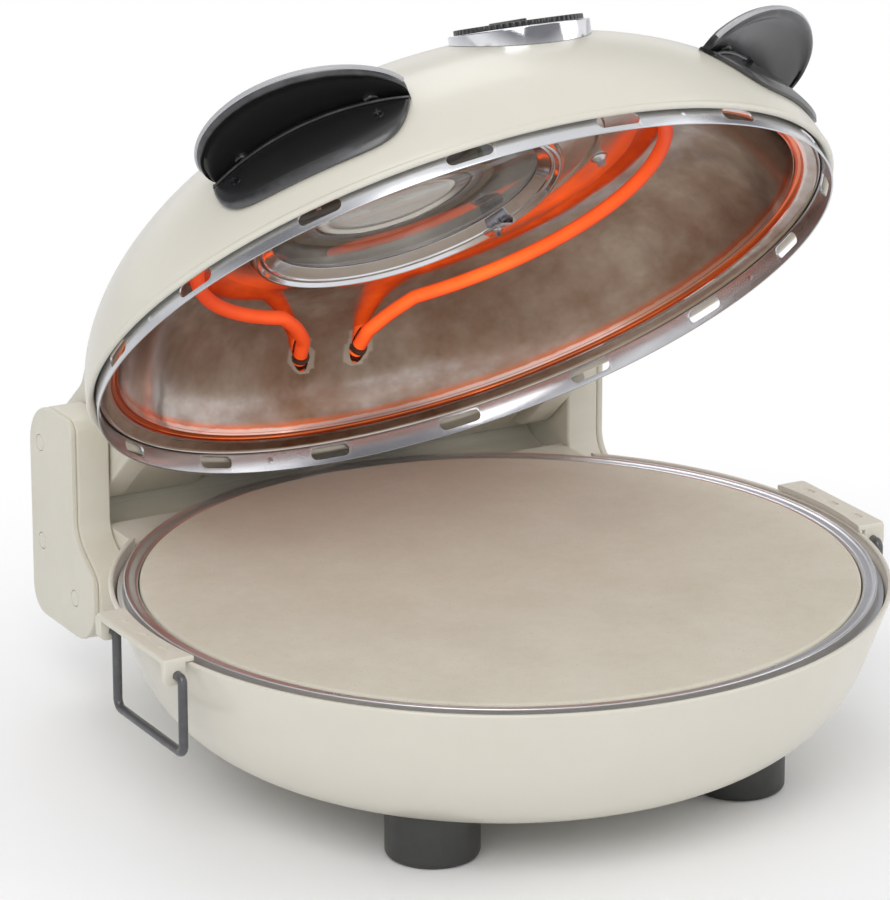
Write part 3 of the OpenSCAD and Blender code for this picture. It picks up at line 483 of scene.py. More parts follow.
class Bench:
    """Adds nodes to a node tree and joins them."""

    def __init__(self, tree: bpy.types.NodeTree) -> None:
        """Takes the tree to work on."""
        self.tree = tree

    def add(self, kind: str, **settings: object) -> Node:
        """Adds a node with its settings."""
        node = self.tree.nodes.new(kind)
        for name, value in settings.items():
            setattr(node, name, value)
        return node

    def feed(self, node: Node, key: str | int, value: object) -> None:
        """Links a socket to an input, or sets the input's own value."""
        if isinstance(value, Socket):
            self.tree.links.new(value, node.inputs[key])
        else:
            node.inputs[key].default_value = value

    def work(self, operation: str, *values: object) -> Socket:
        """Works out an operation on numbers."""
        node = self.add("ShaderNodeMath", operation=operation)
        for i, value in enumerate(values):
            self.feed(node, i, value)
        return node.outputs[0]

    def plus(self, one: object, two: object) -> Socket:
        """Adds two numbers."""
        return self.work("ADD", one, two)

    def times(self, one: object, two: object) -> Socket:
        """Multiplies two numbers."""
        return self.work("MULTIPLY", one, two)

    def reach(self, x: object, y: object) -> Socket:
        """Distance from the Z axis."""
        return self.work("SQRT", self.plus(self.times(x, x), self.times(y, y)))

    def span(
        self, value: object, low: object, high: object, to_low: object = 0.0, to_high: object = 1.0
    ) -> Socket:
        """Maps a number from one range to another.

        Args:
            value: The number.
            low: Where its range starts.
            high: Where its range ends.
            to_low: What the start becomes.
            to_high: What the end becomes.

        Returns:
            The mapped number, which stays within the new range.
        """
        node = self.add("ShaderNodeMapRange")
        keys = ("Value", "From Min", "From Max", "To Min", "To Max")
        for key, item in zip(keys, (value, low, high, to_low, to_high)):
            self.feed(node, key, item)
        return node.outputs["Result"]

    def mix(self, share: object, one: object, two: object) -> Socket:
        """Mixes two colours."""
        node = self.add("ShaderNodeMix", data_type="RGBA")
        for key, item in zip((0, 6, 7), (share, one, two)):
            self.feed(node, key, item)
        return node.outputs[2]

    def noise(self, vector: object, scale: object, detail: float = 3.0, rough: float = 0.55) -> Socket:
        """Soft noise at a scale in cells per metre."""
        node = self.add("ShaderNodeTexNoise")
        for key, item in zip(("Vector", "Scale", "Detail", "Roughness"), (vector, scale, detail, rough)):
            self.feed(node, key, item)
        return node.outputs[0]

    def place(self, name: str, **values: object) -> Node:
        """Places one of the shared groups with its own values; an underscore stands for a space."""
        node = self.add("ShaderNodeGroup", node_tree=bpy.data.node_groups[name])
        for key, value in values.items():
            self.feed(node, key.replace("_", " "), value)
        return node


def start_material(name: str) -> tuple[bpy.types.Material, Bench, Node, Socket] | None:
    """Starts a material, unless it is there already.

    Args:
        name: The material's name.

    Returns:
        The material, its bench, its main shader and the object's own coordinates, or nothing where
        the material is known.
    """
    if bpy.data.materials.get(name):
        return None
    made = bpy.data.materials.new(name)
    made.use_nodes = True
    bench = Bench(made.node_tree)
    spot = bench.add("ShaderNodeTexCoord").outputs["Object"]
    return made, bench, made.node_tree.nodes["Principled BSDF"], spot


class Effects:
    """The shared effects: each is a shader node group with named inputs and outputs."""

    def start(self, name: str, takes: Takes, gives: dict[str, str]) -> tuple[Bench, Node, Node]:
        """Starts a group with its sockets.

        Args:
            name: The group's name.
            takes: Each input's name, with its kind and first value.
            gives: Each output's name, with its kind.

        Returns:
            The bench for the group, its input node and its output node.
        """
        tree = bpy.data.node_groups.new(name, "ShaderNodeTree")
        for key, (kind, value) in takes.items():
            socket = tree.interface.new_socket(name=key, in_out="INPUT", socket_type="NodeSocket" + kind)
            if value is not None:
                socket.default_value = value
        for key, kind in gives.items():
            tree.interface.new_socket(name=key, in_out="OUTPUT", socket_type="NodeSocket" + kind)
        bench = Bench(tree)
        return bench, bench.add("NodeGroupInput"), bench.add("NodeGroupOutput")

    def build(self) -> None:
        """Builds every group."""
        self.mottle()
        self.grain()
        self.turned()
        self.edge()
        self.speckle()

    def mottle(self) -> None:
        """Soft drifts between two colours, at two sizes."""
        colours = {"One": ("Color", None), "Two": ("Color", None)}
        bench, takes, gives = self.start(
            "mottle", {"Vector": ("Vector", None), "Scale": ("Float", 20.0), **colours},
            {"Colour": "Color", "Mask": "Float"},
        )
        vector, scale = takes.outputs["Vector"], takes.outputs["Scale"]
        broad = bench.noise(vector, scale, 2.0)
        fine = bench.noise(vector, bench.times(scale, 7.0), 4.0, 0.65)
        both = bench.plus(bench.times(broad, 0.65), bench.times(fine, 0.35))
        mask = bench.span(both, 0.34, 0.66)
        bench.feed(gives, "Mask", mask)
        bench.feed(gives, "Colour", bench.mix(mask, takes.outputs["One"], takes.outputs["Two"]))

    def grain(self) -> None:
        """Fine grain, as on moulded, sprayed or fired surfaces."""
        bench, takes, gives = self.start(
            "grain", {"Vector": ("Vector", None), "Scale": ("Float", 900.0), "Bite": ("Float", 0.3)},
            {"Height": "Float"},
        )
        vector, scale = takes.outputs["Vector"], takes.outputs["Scale"]
        soft = bench.noise(vector, scale, 2.0)
        sharp = bench.noise(vector, bench.times(scale, 3.1), 3.0, 0.7)
        bench.feed(gives, "Height", bench.plus(soft, bench.times(sharp, takes.outputs["Bite"])))

    def turned(self) -> None:
        """Fine lines round the Z axis, as a lathe and a polishing wheel leave them."""
        bench, takes, gives = self.start(
            "turned",
            {"Vector": ("Vector", None), "Pitch": ("Float", 900.0), "Run": ("Float", 3.0)},
            {"Height": "Float", "Streak": "Float"},
        )
        parts = bench.add("ShaderNodeSeparateXYZ")
        bench.feed(parts, 0, takes.outputs["Vector"])
        x, y, z = parts.outputs
        radius = bench.reach(x, y)
        outwards = bench.plus(radius, z)
        safe = bench.work("MAXIMUM", radius, 0.001)
        across, along = bench.work("DIVIDE", x, safe), bench.work("DIVIDE", y, safe)
        fine, run = takes.outputs["Pitch"], takes.outputs["Run"]
        lines = []
        for pitch in (fine, bench.times(fine, 0.08)):
            joined = bench.add("ShaderNodeCombineXYZ")
            bench.feed(joined, 0, bench.times(outwards, pitch))
            bench.feed(joined, 1, bench.times(across, run))
            bench.feed(joined, 2, bench.times(along, run))
            lines.append(bench.noise(joined.outputs[0], 1.0, 4.0, 0.6))
        bench.feed(gives, "Height", lines[0])
        bench.feed(gives, "Streak", bench.span(lines[1], 0.35, 0.65))

    def edge(self) -> None:
        """Marks outer edges, where a finish rubs bright or thin and where a painted highlight lightens them.
        """
        bench, takes, gives = self.start(
            "edge", {"Vector": ("Vector", None), "Level": ("Float", 0.53), "Reach": ("Float", 0.04)},
            {"Mask": "Float"},
        )
        shape = bench.add("ShaderNodeNewGeometry")
        broken = bench.span(bench.noise(takes.outputs["Vector"], 140.0), 0.35, 0.7, -0.015, 0.015)
        level = bench.plus(shape.outputs["Pointiness"], broken)
        top = bench.plus(takes.outputs["Level"], takes.outputs["Reach"])
        bench.feed(gives, "Mask", bench.span(level, takes.outputs["Level"], top))

    def speckle(self) -> None:
        """Small scattered specks."""
        bench, takes, gives = self.start(
            "speckle", {"Vector": ("Vector", None), "Scale": ("Float", 500.0), "Size": ("Float", 0.18)},
            {"Mask": "Float"},
        )
        cells = bench.add("ShaderNodeTexVoronoi")
        bench.feed(cells, "Vector", takes.outputs["Vector"])
        bench.feed(cells, "Scale", takes.outputs["Scale"])
        parts = bench.add("ShaderNodeSeparateColor")
        bench.feed(parts, 0, cells.outputs["Color"])
        size = bench.times(takes.outputs["Size"], parts.outputs[0])
        low = bench.times(size, 0.5)
        bench.feed(gives, "Mask", bench.span(cells.outputs["Distance"], size, low))


class Lines(Enum):
    """Which axis the fine lines of a turned or polished surface run round."""

    NONE = "none"
    LID = "lid"
    BASE = "base"
    WINDOW = "window"
    KNOB = "knob"


def axis_of(lines: Lines) -> Matrix:
    """The place and turn of an axis.

    Args:
        lines: Which axis.

    Returns:
        Its frame, in metres.
    """
    if lines is Lines.LID:
        return AT_LID
    if lines is Lines.WINDOW:
        return AT_LID @ move(0, WINDOW_Y, 0)
    if lines is Lines.KNOB:
        return AT_LID @ Knob().seat()
    return AT_BASE


@dataclass(frozen=True)
class Finish:
    """An opaque finish: its colours, its gloss and its fine surface."""

    name: str
    one: Colour
    two: Colour
    mottle: float = 18.0
    metallic: float = 0.0
    rough: tuple[float, float] = (0.3, 0.36)
    grain: float = 900.0
    bite: float = 0.3
    grain_depth: float = 0.00001
    lines: Lines = Lines.NONE
    pitch: float = 900.0
    line_depth: float = 0.0
    # A colour mixed in along the fine lines; on the reflector it is a painted reflection.
    streak_reflection: Colour | None = None
    coat: float = 0.0
    coat_rough: float = 0.1
    # Lighter colour on outer edges: partly wear, partly a painted highlight.
    wear_and_highlight: Colour | None = None
    wear_and_highlight_share: float = 0.5
    specks: Colour | None = None
    speck_scale: float = 500.0
    speck_size: float = 0.2
    specular: float = 0.5
    wave: float = 0.0
    wave_scale: float = 26.0
    # Painted reflection of the glowing element: its orange, the ring's inner and outer radius and the width
    # of its fade.
    glow_reflection: Colour | None = None
    glow_reflection_from: tuple[float, float] = (0.1500, 0.1575)
    glow_reflection_fade: float = 0.0015
    line_rough: tuple[float, float] = (-0.04, 0.05)
    streak_reflection_share: float = 0.6

    def material(self) -> bpy.types.Material:
        """The finish as a Blender material, made once."""
        started = start_material(self.name)
        if not started:
            return bpy.data.materials[self.name]
        made, bench, shader, spot = started
        colours = {"One": linear(self.one), "Two": linear(self.two)}
        drift = bench.place("mottle", Vector=spot, Scale=self.mottle, **colours)
        colour = drift.outputs["Colour"]
        height = bench.place("grain", Vector=spot, Scale=self.grain, Bite=self.bite).outputs["Height"]
        rough = bench.span(drift.outputs["Mask"], 0.0, 1.0, *self.rough)
        normal = self.bump(bench, height, self.grain_depth)
        if self.wave > 0:
            normal = self.bump(bench, bench.noise(spot, self.wave_scale, 2.0), self.wave, normal)
        if self.lines is not Lines.NONE:
            place = axis_of(self.lines)
            centred = bench.add("ShaderNodeMapping", vector_type="TEXTURE")
            bench.feed(centred, "Vector", spot)
            centred.inputs["Location"].default_value = place.to_translation()
            centred.inputs["Rotation"].default_value = place.to_euler()
            turned = bench.place("turned", Vector=centred.outputs[0], Pitch=self.pitch)
            normal = self.bump(bench, turned.outputs["Height"], self.line_depth, normal)
            rough = bench.plus(rough, bench.span(turned.outputs["Streak"], 0.0, 1.0, *self.line_rough))
            # Painted reflection: the glowing element's orange, mixed into a ring round the axis.
            if self.glow_reflection:
                colour = bench.mix(self.glow_reflection_ring(bench, centred.outputs[0]), colour, linear(self.glow_reflection))
            # Painted reflection: brown streaks along the lathe lines.
            if self.streak_reflection:
                share = bench.times(turned.outputs["Streak"], self.streak_reflection_share)
                colour = bench.mix(share, colour, linear(self.streak_reflection))
        if self.specks:
            specks = bench.place("speckle", Vector=spot, Scale=self.speck_scale, Size=self.speck_size)
            colour = bench.mix(specks.outputs["Mask"], colour, linear(self.specks))
        # Outer edges lighter: partly wear, partly a painted highlight.
        if self.wear_and_highlight:
            mask = bench.times(bench.place("edge", Vector=spot).outputs["Mask"], self.wear_and_highlight_share)
            colour = bench.mix(mask, colour, linear(self.wear_and_highlight))
        bench.feed(shader, "Base Color", colour)
        bench.feed(shader, "Roughness", rough)
        bench.feed(shader, "Normal", normal)
        bench.feed(shader, "Metallic", self.metallic)
        bench.feed(shader, "Specular IOR Level", self.specular)
        bench.feed(shader, "Coat Weight", self.coat)
        bench.feed(shader, "Coat Roughness", self.coat_rough)
        return made

    def glow_reflection_ring(self, bench: Bench, spot: Socket) -> Socket:
        """Masks the ring round the axis where the glowing element's orange reflection is painted.

        Args:
            bench: The material's bench.
            spot: The coordinates round the axis.

        Returns:
            The mask.
        """
        parts = bench.add("ShaderNodeSeparateXYZ")
        bench.feed(parts, 0, spot)
        reach = bench.reach(*parts.outputs[:2])
        inside, outside = self.glow_reflection_from
        rise = bench.span(reach, inside, inside + self.glow_reflection_fade)
        return bench.times(rise, bench.span(reach, outside, outside - self.glow_reflection_fade))

    def bump(self, bench: Bench, height: object, depth: float, under: object = None) -> Socket:
        """Turns a height into a normal.

        Args:
            bench: The material's bench.
            height: The height, from 0 to 1.
            depth: How deep that is, in metres.
            under: The normal of a coarser surface that this one lies on.

        Returns:
            The normal.
        """
        node = bench.add("ShaderNodeBump")
        bench.feed(node, "Height", height)
        node.inputs["Strength"].default_value = 1.0
        node.inputs["Distance"].default_value = depth
        if under is not None:
            bench.feed(node, "Normal", under)
        return node.outputs[0]


@dataclass(frozen=True)
class Glow:
    """The sheath of a heating element at red heat: brighter in its middle than at its edges, a painted shade
    set by how the tube faces the view.
    """

    name: str = "glowing_sheath"
    edge: Light = (0.27, 0.012, 0.001, 1.0)
    core: Light = (1.0, 0.13, 0.017, 1.0)
    base: Colour = (120, 40, 20)
    strength: float = 1.6
    bend: float = 0.68
    rough: float = 0.5
    drift: float = 30.0
    drift_share: float = 0.35

    def material(self) -> bpy.types.Material:
        """The finish as a Blender material, made once."""
        started = start_material(self.name)
        if not started:
            return bpy.data.materials[self.name]
        made, bench, shader, spot = started
        facing = bench.add("ShaderNodeLayerWeight")
        bench.feed(facing, "Blend", self.bend)
        drift = bench.span(bench.noise(spot, self.drift), 0.3, 0.7, 0.0, self.drift_share)
        warm = bench.mix(drift, self.core, self.edge)
        # Painted shade: darker and redder where the tube turns away from the view.
        colour = bench.mix(facing.outputs["Facing"], warm, self.edge)
        bench.feed(shader, "Base Color", linear(self.base))
        bench.feed(shader, "Emission Color", colour)
        bench.feed(shader, "Emission Strength", self.strength)
        bench.feed(shader, "Roughness", self.rough)
        return made


@dataclass(frozen=True)
class Glass:
    """Clear toughened glass with a faint smear on its gloss."""

    name: str = "clear_glass"
    colour: Colour = (232, 230, 225)
    ior: float = 1.5
    smear: float = 24.0
    smear_rough: float = 0.05

    def material(self) -> bpy.types.Material:
        """The finish as a Blender material, made once."""
        started = start_material(self.name)
        if not started:
            return bpy.data.materials[self.name]
        made, bench, shader, spot = started
        bench.feed(shader, "Base Color", linear(self.colour))
        bench.feed(shader, "Transmission Weight", 1.0)
        bench.feed(shader, "IOR", self.ior)
        rough = bench.span(bench.noise(spot, self.smear), 0.3, 0.7, 0.0, self.smear_rough)
        bench.feed(shader, "Roughness", rough)
        return made


ENAMEL = Finish(
    "cream_enamel", (224, 219, 206), (220, 215, 201), mottle=9, rough=(0.3, 0.36), grain=420, bite=0.25,
    grain_depth=0.000022, coat=0.25, coat_rough=0.16, wear_and_highlight=(230, 226, 216), wear_and_highlight_share=0.35,
)
SATIN = Finish(
    "cream_satin", (222, 217, 203), (217, 212, 197), mottle=14, rough=(0.4, 0.47), grain=1400, bite=0.5,
    grain_depth=0.00003, wear_and_highlight=(230, 226, 215), wear_and_highlight_share=0.4,
)
COLLAR = Finish(
    "collar_steel", (214, 215, 219), (200, 201, 205), mottle=14, metallic=1.0, rough=(0.2, 0.25), grain=2600,
    bite=0.2, grain_depth=0.000001, lines=Lines.LID, pitch=1400, line_depth=0.0000012, wear_and_highlight=(236, 236, 238),
)
# The reflector's dark brown second colour and its brown streaks are painted reflections, and the orange ring
# at its bead is the glowing element's painted reflection.
MIRROR_STEEL = Finish(
    "reflector_steel", (232, 227, 222), (116, 84, 64), mottle=6, metallic=1.0, rough=(0.12, 0.19), grain=300,
    bite=0.2, grain_depth=0.00002, lines=Lines.LID, pitch=1500, line_depth=0.000005, streak_reflection=(150, 108, 82),
    wear_and_highlight=(236, 234, 230), wave=0.003, wave_scale=9, glow_reflection=(255, 118, 54),
)
RIM_CHROME = Finish(
    "rim_chrome", (228, 229, 232), (216, 218, 222), mottle=30, metallic=1.0, rough=(0.3, 0.36), grain=2600,
    grain_depth=0.000002, lines=Lines.BASE, pitch=2200, line_depth=0.000002, wear_and_highlight=(240, 240, 242),
)
TRIM_CHROME = Finish(
    "trim_chrome", (226, 227, 230), (216, 217, 221), mottle=40, metallic=1.0, rough=(0.07, 0.12), grain=2600,
    grain_depth=0.000002, lines=Lines.WINDOW, pitch=2200, line_depth=0.000003, wear_and_highlight=(242, 242, 244),
)
KNOB_CHROME = Finish(
    "knob_chrome", (226, 227, 230), (216, 217, 221), mottle=40, metallic=1.0, rough=(0.08, 0.13), grain=2600,
    grain_depth=0.000002, lines=Lines.KNOB, pitch=2200, line_depth=0.000004, wear_and_highlight=(242, 242, 244),
)
SCREW_STEEL = Finish(
    "screw_steel", (206, 206, 208), (188, 188, 192), mottle=120, metallic=1.0, rough=(0.2, 0.3), grain=3000,
    grain_depth=0.000004, wear_and_highlight=(235, 235, 237),
)
BLACK_STEEL = Finish(
    "black_steel", (58, 58, 60), (48, 48, 50), mottle=120, metallic=0.6, rough=(0.26, 0.34), grain=3000,
    grain_depth=0.000004, wear_and_highlight=(120, 120, 122), wear_and_highlight_share=0.3,
)
PAN_STEEL = Finish(
    "pan_steel", (170, 171, 173), (146, 147, 150), mottle=60, metallic=1.0, rough=(0.32, 0.46), grain=1200,
    grain_depth=0.00001, wear_and_highlight=(205, 205, 206),
)
PHENOLIC = Finish(
    "black_phenolic", (30, 30, 31), (25, 25, 26), mottle=40, rough=(0.28, 0.35), grain=1700, bite=0.6,
    grain_depth=0.000008, wear_and_highlight=(92, 92, 94), wear_and_highlight_share=0.6, coat=0.25, coat_rough=0.16, specular=0.6,
)
# A light-grey rod laid along each blade's outer edge: a painted highlight.
GRIP_HIGHLIGHT = Finish(
    "grip_edge", (182, 182, 185), (172, 172, 174), mottle=60, rough=(0.25, 0.32), grain=1700,
    grain_depth=0.000006, wear_and_highlight=(184, 184, 186), wear_and_highlight_share=0.3, coat=0.4,
)
RUBBER = Finish(
    "foot_plastic", (58, 58, 56), (50, 50, 48), mottle=50, rough=(0.42, 0.5), grain=1500, bite=0.6,
    grain_depth=0.00003, wear_and_highlight=(76, 76, 74), wear_and_highlight_share=0.3,
)
STONEWARE = Finish(
    "baking_stone", (224, 219, 203), (215, 208, 190), mottle=26, rough=(0.62, 0.74), grain=1300, bite=0.9,
    grain_depth=0.00009, wear_and_highlight=(228, 219, 204), specks=(196, 186, 166), speck_scale=620, speck_size=0.24,
    specular=0.3,
)
CERAMIC = Finish(
    "white_ceramic", (236, 232, 222), (228, 223, 211), mottle=80, rough=(0.24, 0.34), grain=900,
    grain_depth=0.00001, coat=0.3, wear_and_highlight=(242, 239, 231),
)
SOOTED = Finish(
    "sooted_ceramic", (92, 64, 48), (70, 48, 36), mottle=90, rough=(0.4, 0.5), grain=900, grain_depth=0.00001,
    wear_and_highlight=(120, 88, 68), wear_and_highlight_share=0.3,
)
ENAMEL_WIRE = Finish(
    "dark_wire", (92, 92, 94), (80, 80, 82), mottle=90, metallic=0.35, rough=(0.3, 0.4), grain=1500, bite=0.5,
    grain_depth=0.00001, wear_and_highlight=(150, 150, 152), wear_and_highlight_share=0.3, coat=0.2,
)
WOOL = Finish(
    "mineral_wool", (226, 216, 178), (206, 192, 150), mottle=120, rough=(0.85, 0.95), grain=700, bite=0.9,
    grain_depth=0.0004, specks=(190, 172, 128), speck_scale=900, specular=0.2,
)
GLOW = Glow()
GLASS = Glass()

CARRIED = {
    "heat_pan": PAN_STEEL, "lower_clips": PAN_STEEL, "lower_terminals": CERAMIC,
    "foot_screws": SCREW_STEEL, "housing_floor": SATIN, "cord_bushing": PHENOLIC,
    "terminal_block": CERAMIC, "safety_thermostat": PAN_STEEL, "hinge_pin_left": SCREW_STEEL,
    "hinge_pin_right": SCREW_STEEL, "insulation": WOOL, "window_tube": PAN_STEEL,
    "lid_thermostat": PAN_STEEL,
}


class Body(Enum):
    """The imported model's moving bodies."""

    BASE = "base"
    STONE = "stone"
    LID = "lid"
    KNOB = "knob"
    BAIL_LEFT = "bail_a"
    BAIL_RIGHT = "bail_b"


@dataclass(frozen=True)
class Fit:
    """How a finished shape goes into the scene."""

    name: str
    body: Body
    slot: str
    finish: Finish | Glow | Glass
    nodes: tuple[str, ...]
    place: Matrix
    crease: float = 32.0
    bevel: float = 0.0
    segments: int = 2

    def settle(self, shape: Shape) -> bpy.types.Object:
        """Places the shape in metres, dresses it and joins it to its body.

        Args:
            shape: The shape in millimetres.

        Returns:
            The finished piece.
        """
        piece = shape.thing(self.name)
        mesh = piece.data
        mesh.transform(self.place)
        if self.place.determinant() < 0:
            mesh.flip_normals()
        mesh.shade_smooth()
        mesh.set_sharp_from_angle(angle=math.radians(self.crease))
        if self.bevel > 0:
            round_off = piece.modifiers.new("edges", "BEVEL")
            round_off.width = self.bevel * MM
            round_off.segments = self.segments
            round_off.limit_method = "ANGLE"
            round_off.angle_limit = math.radians(self.crease)
            round_off.use_clamp_overlap = True
            round_off.harden_normals = True
        mesh.materials.append(self.finish.material())
        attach(piece, self.body.value)
        if self.nodes:
            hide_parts(*self.nodes)
        log.info("%s: %d faces", self.name, len(mesh.polygons))
        return piece


# ---- The object's sub-assemblies


@dataclass
class Bowl:
    """The cream bowl with its rolled lip, and the four feet under it."""

    lip: float = 167.9
    lip_z: float = 85.6
    bead: float = 1.1
    lean: float = 20.0
    bend: float = 60.0
    sheet: float = 1.2
    floor_z: float = 17.5
    lip_in: float = 3.2
    notch: tuple[float, float, float] = (117.0, 100.0, 80.0)
    notch_h: float = 14.0
    foot: float = 20.0
    tread: tuple[float, float, float] = (6.0, 7.0, 0.6)
    foot_out: float = 4.9
    foot_edge: float = 2.5
    foot_up: float = 6.0

    def bend_at(self) -> Point:
        """Middle of the bend between wall and floor."""
        height = self.floor_z + self.bend
        slope = math.radians(self.lean)
        return (self.lip - (self.lip_z - height) * math.tan(slope) - self.bend / math.cos(slope), height)

    def wall(self, inset: float) -> list[Point]:
        """The bowl's side from the lip down to the middle of the floor."""
        top = self.lip - inset / math.cos(math.radians(self.lean))
        curve = arc(self.bend_at(), self.bend - inset, -self.lean, -90, 22)
        return [(top, self.lip_z), *curve, (0, self.floor_z + inset)]

    def space(self, grow: float) -> Shape:
        """Everything within the bowl's outside, to cut what meets it."""
        return Shape().lathe([(0, ABOVE), (self.lip - self.lip_in, ABOVE), *self.wall(-grow)], 180)

    def build(self) -> None:
        """Builds the bowl and its feet."""
        inside = self.wall(self.sheet)[::-1]
        bead = arc((self.lip - self.bead, self.lip_z), self.bead, 190, -10, 12)
        shell = Shape().lathe([*inside, *bead, *self.wall(0)[1:]], 288)
        x, y, z = self.notch
        shell = shell.carved(block((-x, y, z), (x, self.lip + 5, z + self.notch_h)))
        Fit("bowl_shell", Body.BASE, "cream", ENAMEL, ("bowl",), AT_BASE).settle(shell)
        reach = self.bend_at()[0] + self.foot_out
        top = self.floor_z + self.foot_up
        edge = [(0, 0, 0), (self.foot, 0, self.foot_edge), (self.foot, top, 0), (0, top, 0)]
        outer, inner, deep = self.tread
        ways = {"front_left": 225, "front_right": 315, "rear_left": 135, "rear_right": 45}
        for name, way in ways.items():
            angle = math.radians(way)
            foot = Shape().lathe(rounded(edge, closed=False), 96)
            tread = [(0, -0.5), (self.foot - outer, -0.5), (self.foot - inner, deep), (0, deep)]
            pad = Shape().lathe(tread, 72)
            foot = foot.carved(pad).place(move(reach * math.cos(angle), reach * math.sin(angle), 0))
            foot = foot.carved(self.space(0.1))
            Fit("rubber_" + name, Body.BASE, "black", RUBBER, ("foot_" + name,), AT_BASE).settle(foot)


@dataclass
class Seat:
    """The chrome rim ring, the baking stone in it and the lower heating element below."""

    stone: float = 154.6
    stone_z: float = 76.6
    stone_top: float = 86.6
    stone_edge: float = 1.6
    sheet: float = 0.9
    tube: float = 3.2
    loop: float = 104.0
    loop_z: float = 56.6
    turn: float = 13.0
    leg_x: float = 15.0
    leg_l: float = 22.0
    leg_up: float = 2.0
    leg_end: float = 163.9

    def build(self) -> None:
        """Builds the ring, the stone and the element."""
        Fit("rim_band", Body.BASE, "rim", RIM_CHROME, ("rim_ring",), AT_BASE).settle(self.ring())
        low, top, edge = self.stone_z, self.stone_top, self.stone_edge
        side = [(0, low, 0), (self.stone, low, edge), (self.stone, top, edge), (0, top, 0)]
        stone = Shape().lathe(rounded(side, closed=False, steps=5), 288)
        Fit("baking_slab", Body.STONE, "stone", STONEWARE, ("baking_stone",), AT_BASE).settle(stone)
        tube = rod(self.element(), self.tube)
        Fit("lower_tube", Body.BASE, "element", GLOW, ("lower_element",), AT_BASE).settle(tube)

    def ring(self) -> Shape:
        """The ledge under the stone, the wall beside it, the crest and the groove outside it."""
        seat, ledge, groove = self.stone + 0.6, self.stone_z, 82.0
        top = rounded([
            (150.2, ledge, 0), (seat, ledge, 0.6), (seat, 85.3, 0.8), (seat + 1.1, 86.15, 1.6),
            (159.6, 86.05, 2.5), (160.8, RIM_Z + 0.02, 0.5), (161.5, RIM_Z - 0.1, 0.5),
            (161.5, groove, 1.0), (164.2, groove, 0),
        ], closed=False, steps=6)
        return Shape().lathe(sheet(top, -self.sheet), 288)

    def element(self) -> list[Vector]:
        """The lower element's middle line: most of a ring, and two legs out to the back."""
        reach = self.loop + self.turn
        gap = math.degrees(math.asin((self.leg_x + self.turn) / reach))
        middle = reach * math.sin(math.radians(gap)), reach * math.cos(math.radians(gap))
        leg = [Vector((x, y, self.loop_z)) for x, y in arc(middle, self.turn, 270 - gap, 180, 10)]
        leg_z = self.loop_z + self.leg_up
        leg += [Vector((self.leg_x, y, leg_z)) for y in (self.leg_end - self.leg_l, self.leg_end)]
        loop = [Vector((x, y, self.loop_z)) for x, y in arc((0, 0), self.loop, 91 + gap, 449 - gap, 150)]
        return [Vector((-p.x, p.y, p.z)) for p in leg[::-1]] + loop + leg


